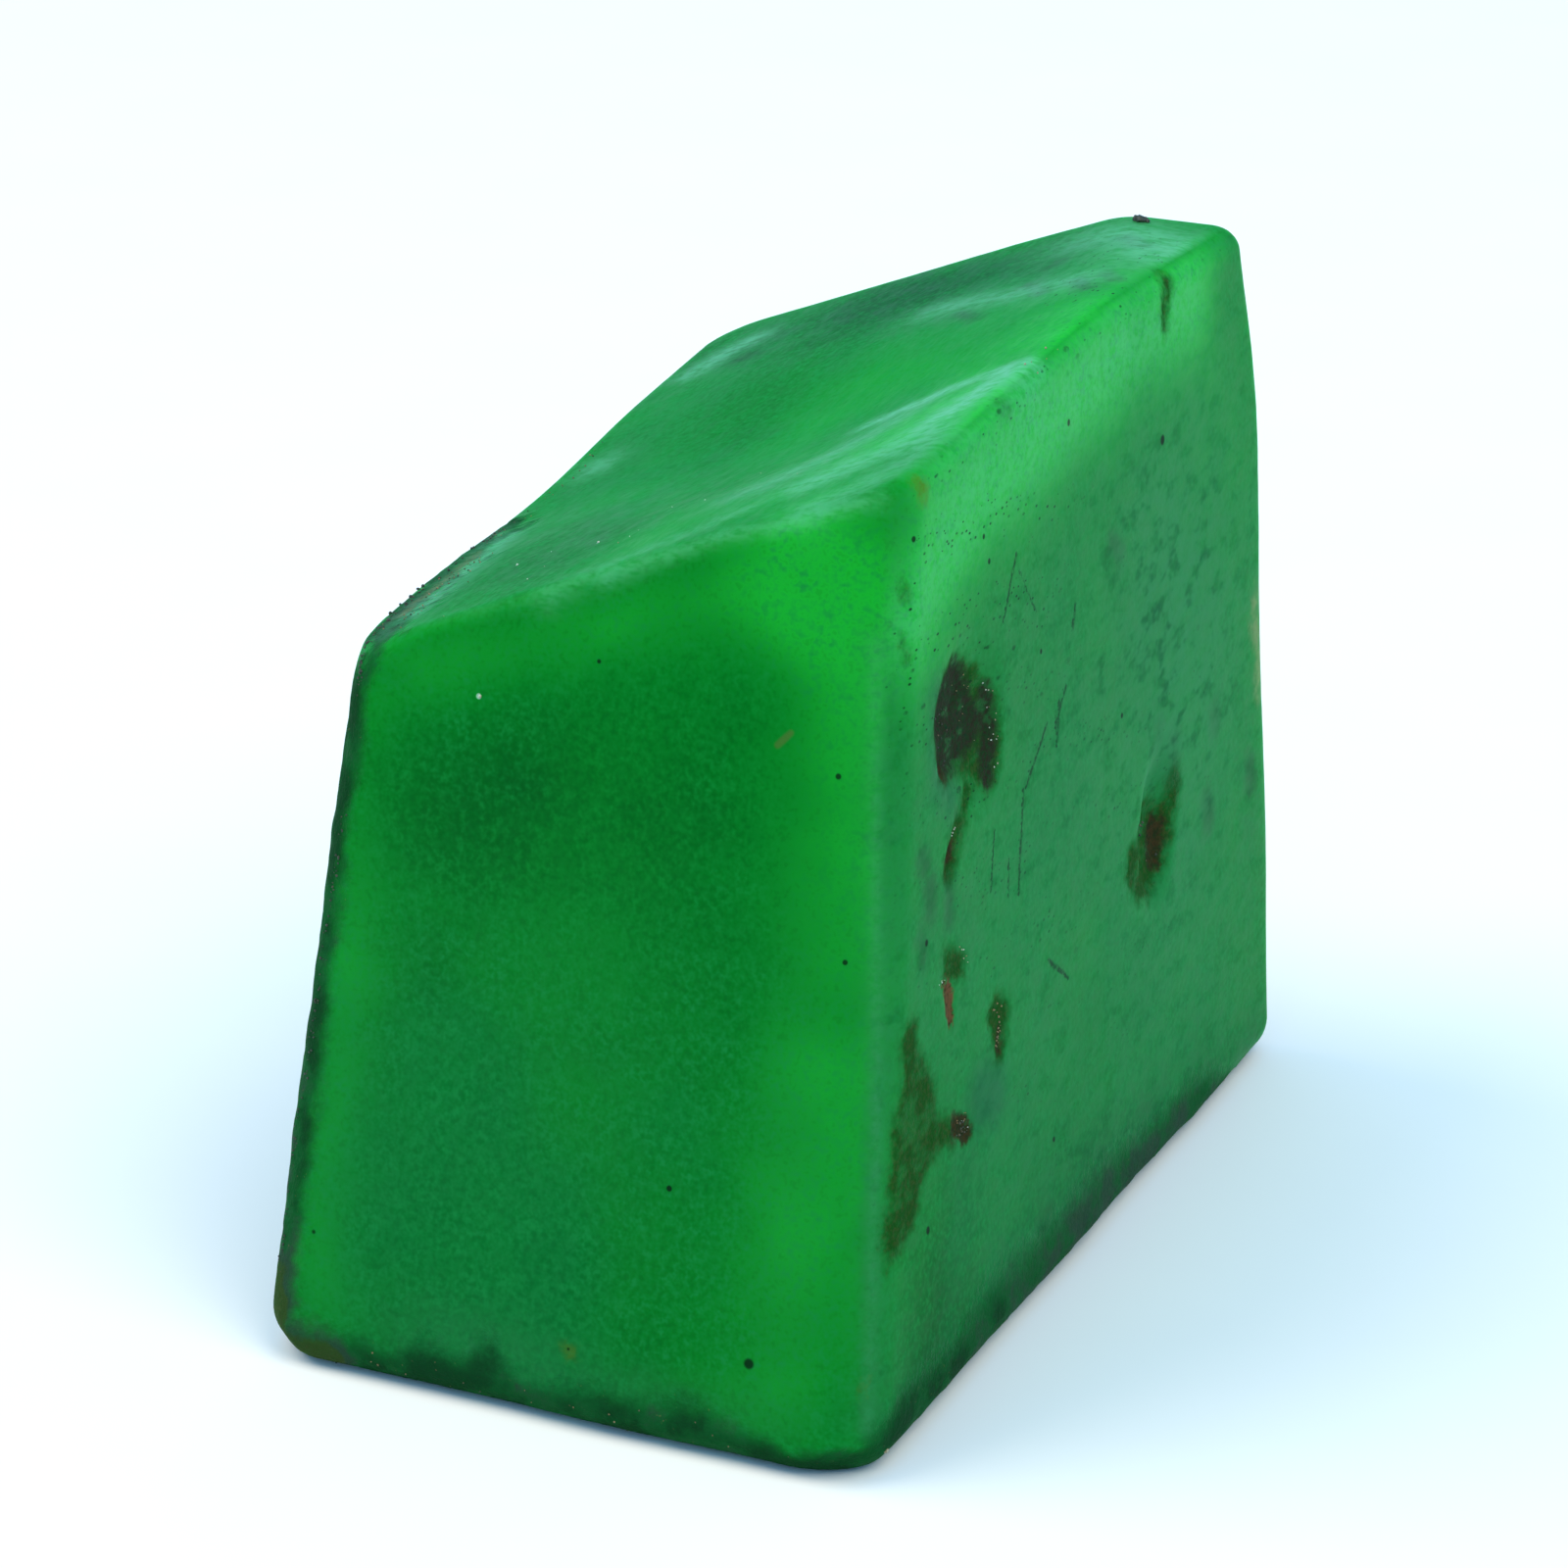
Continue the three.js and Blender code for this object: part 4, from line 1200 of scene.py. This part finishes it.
# ---- Stage: floor, soft light and camera ----
FLOOR_SIZE = 4.0
LIGHT_COLOUR = (1.0, 0.78, 0.48)
LIGHT_POWER = 3.2
LIGHT_SIZE = 0.55
LIGHT_PLACES = {
    "lamp_right": (0.431, -0.157, 0.655),
    "lamp_left": (-0.431, -0.157, 0.655),
}
WORLD_COLOUR = (0.34, 0.67, 1.0, 1)
WORLD_STRENGTH = 1.12
CAMERA_AT = (0.072975, -0.155340, 0.084618)
CAMERA_AZIMUTH = 25.3
CAMERA_PITCH = 22.12
CAMERA_ANGLE = 16


def build_floor():
    half = FLOOR_SIZE / 2
    mesh = bpy.data.meshes.new("floor")
    corners = [(-half, -half, 0), (half, -half, 0), (half, half, 0), (-half, half, 0)]
    mesh.from_pydata(corners, [], [(0, 1, 2, 3)])
    mesh.materials.append(floor_material())
    return add_object("floor", mesh)


def build_lights():
    for name, place in LIGHT_PLACES.items():
        light = bpy.data.lights.new(name, "AREA")
        light.shape = "DISK"
        light.size = LIGHT_SIZE
        light.energy = LIGHT_POWER
        light.color = LIGHT_COLOUR
        holder = add_object(name, light)
        holder.location = place
        holder.rotation_euler = Vector(place).to_track_quat("Z", "Y").to_euler()
    world = bpy.data.worlds.new("studio")
    world.use_nodes = True
    background = world.node_tree.nodes["Background"]
    background.inputs["Color"].default_value = WORLD_COLOUR
    background.inputs["Strength"].default_value = WORLD_STRENGTH
    bpy.context.scene.world = world


def build_camera():
    data = bpy.data.cameras.new("camera")
    data.sensor_width = 36
    data.lens = data.sensor_width / 2 / math.tan(math.radians(CAMERA_ANGLE / 2))
    data.clip_start = 0.01
    data.clip_end = 10
    camera = add_object("camera", data)
    camera.location = CAMERA_AT
    camera.rotation_euler = (math.radians(90 - CAMERA_PITCH), 0, math.radians(CAMERA_AZIMUTH))
    bpy.context.scene.camera = camera


stone = build_stone()
stone.data.materials.append(emerald_material())
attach(stone, "root")
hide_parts("raw_emerald")

grit = build_grit(stone)
grit.data.materials.append(grit_material())
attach(grit, "root")

build_floor()
build_lights()
build_camera()
bpy.context.scene.view_settings.view_transform = "Standard"
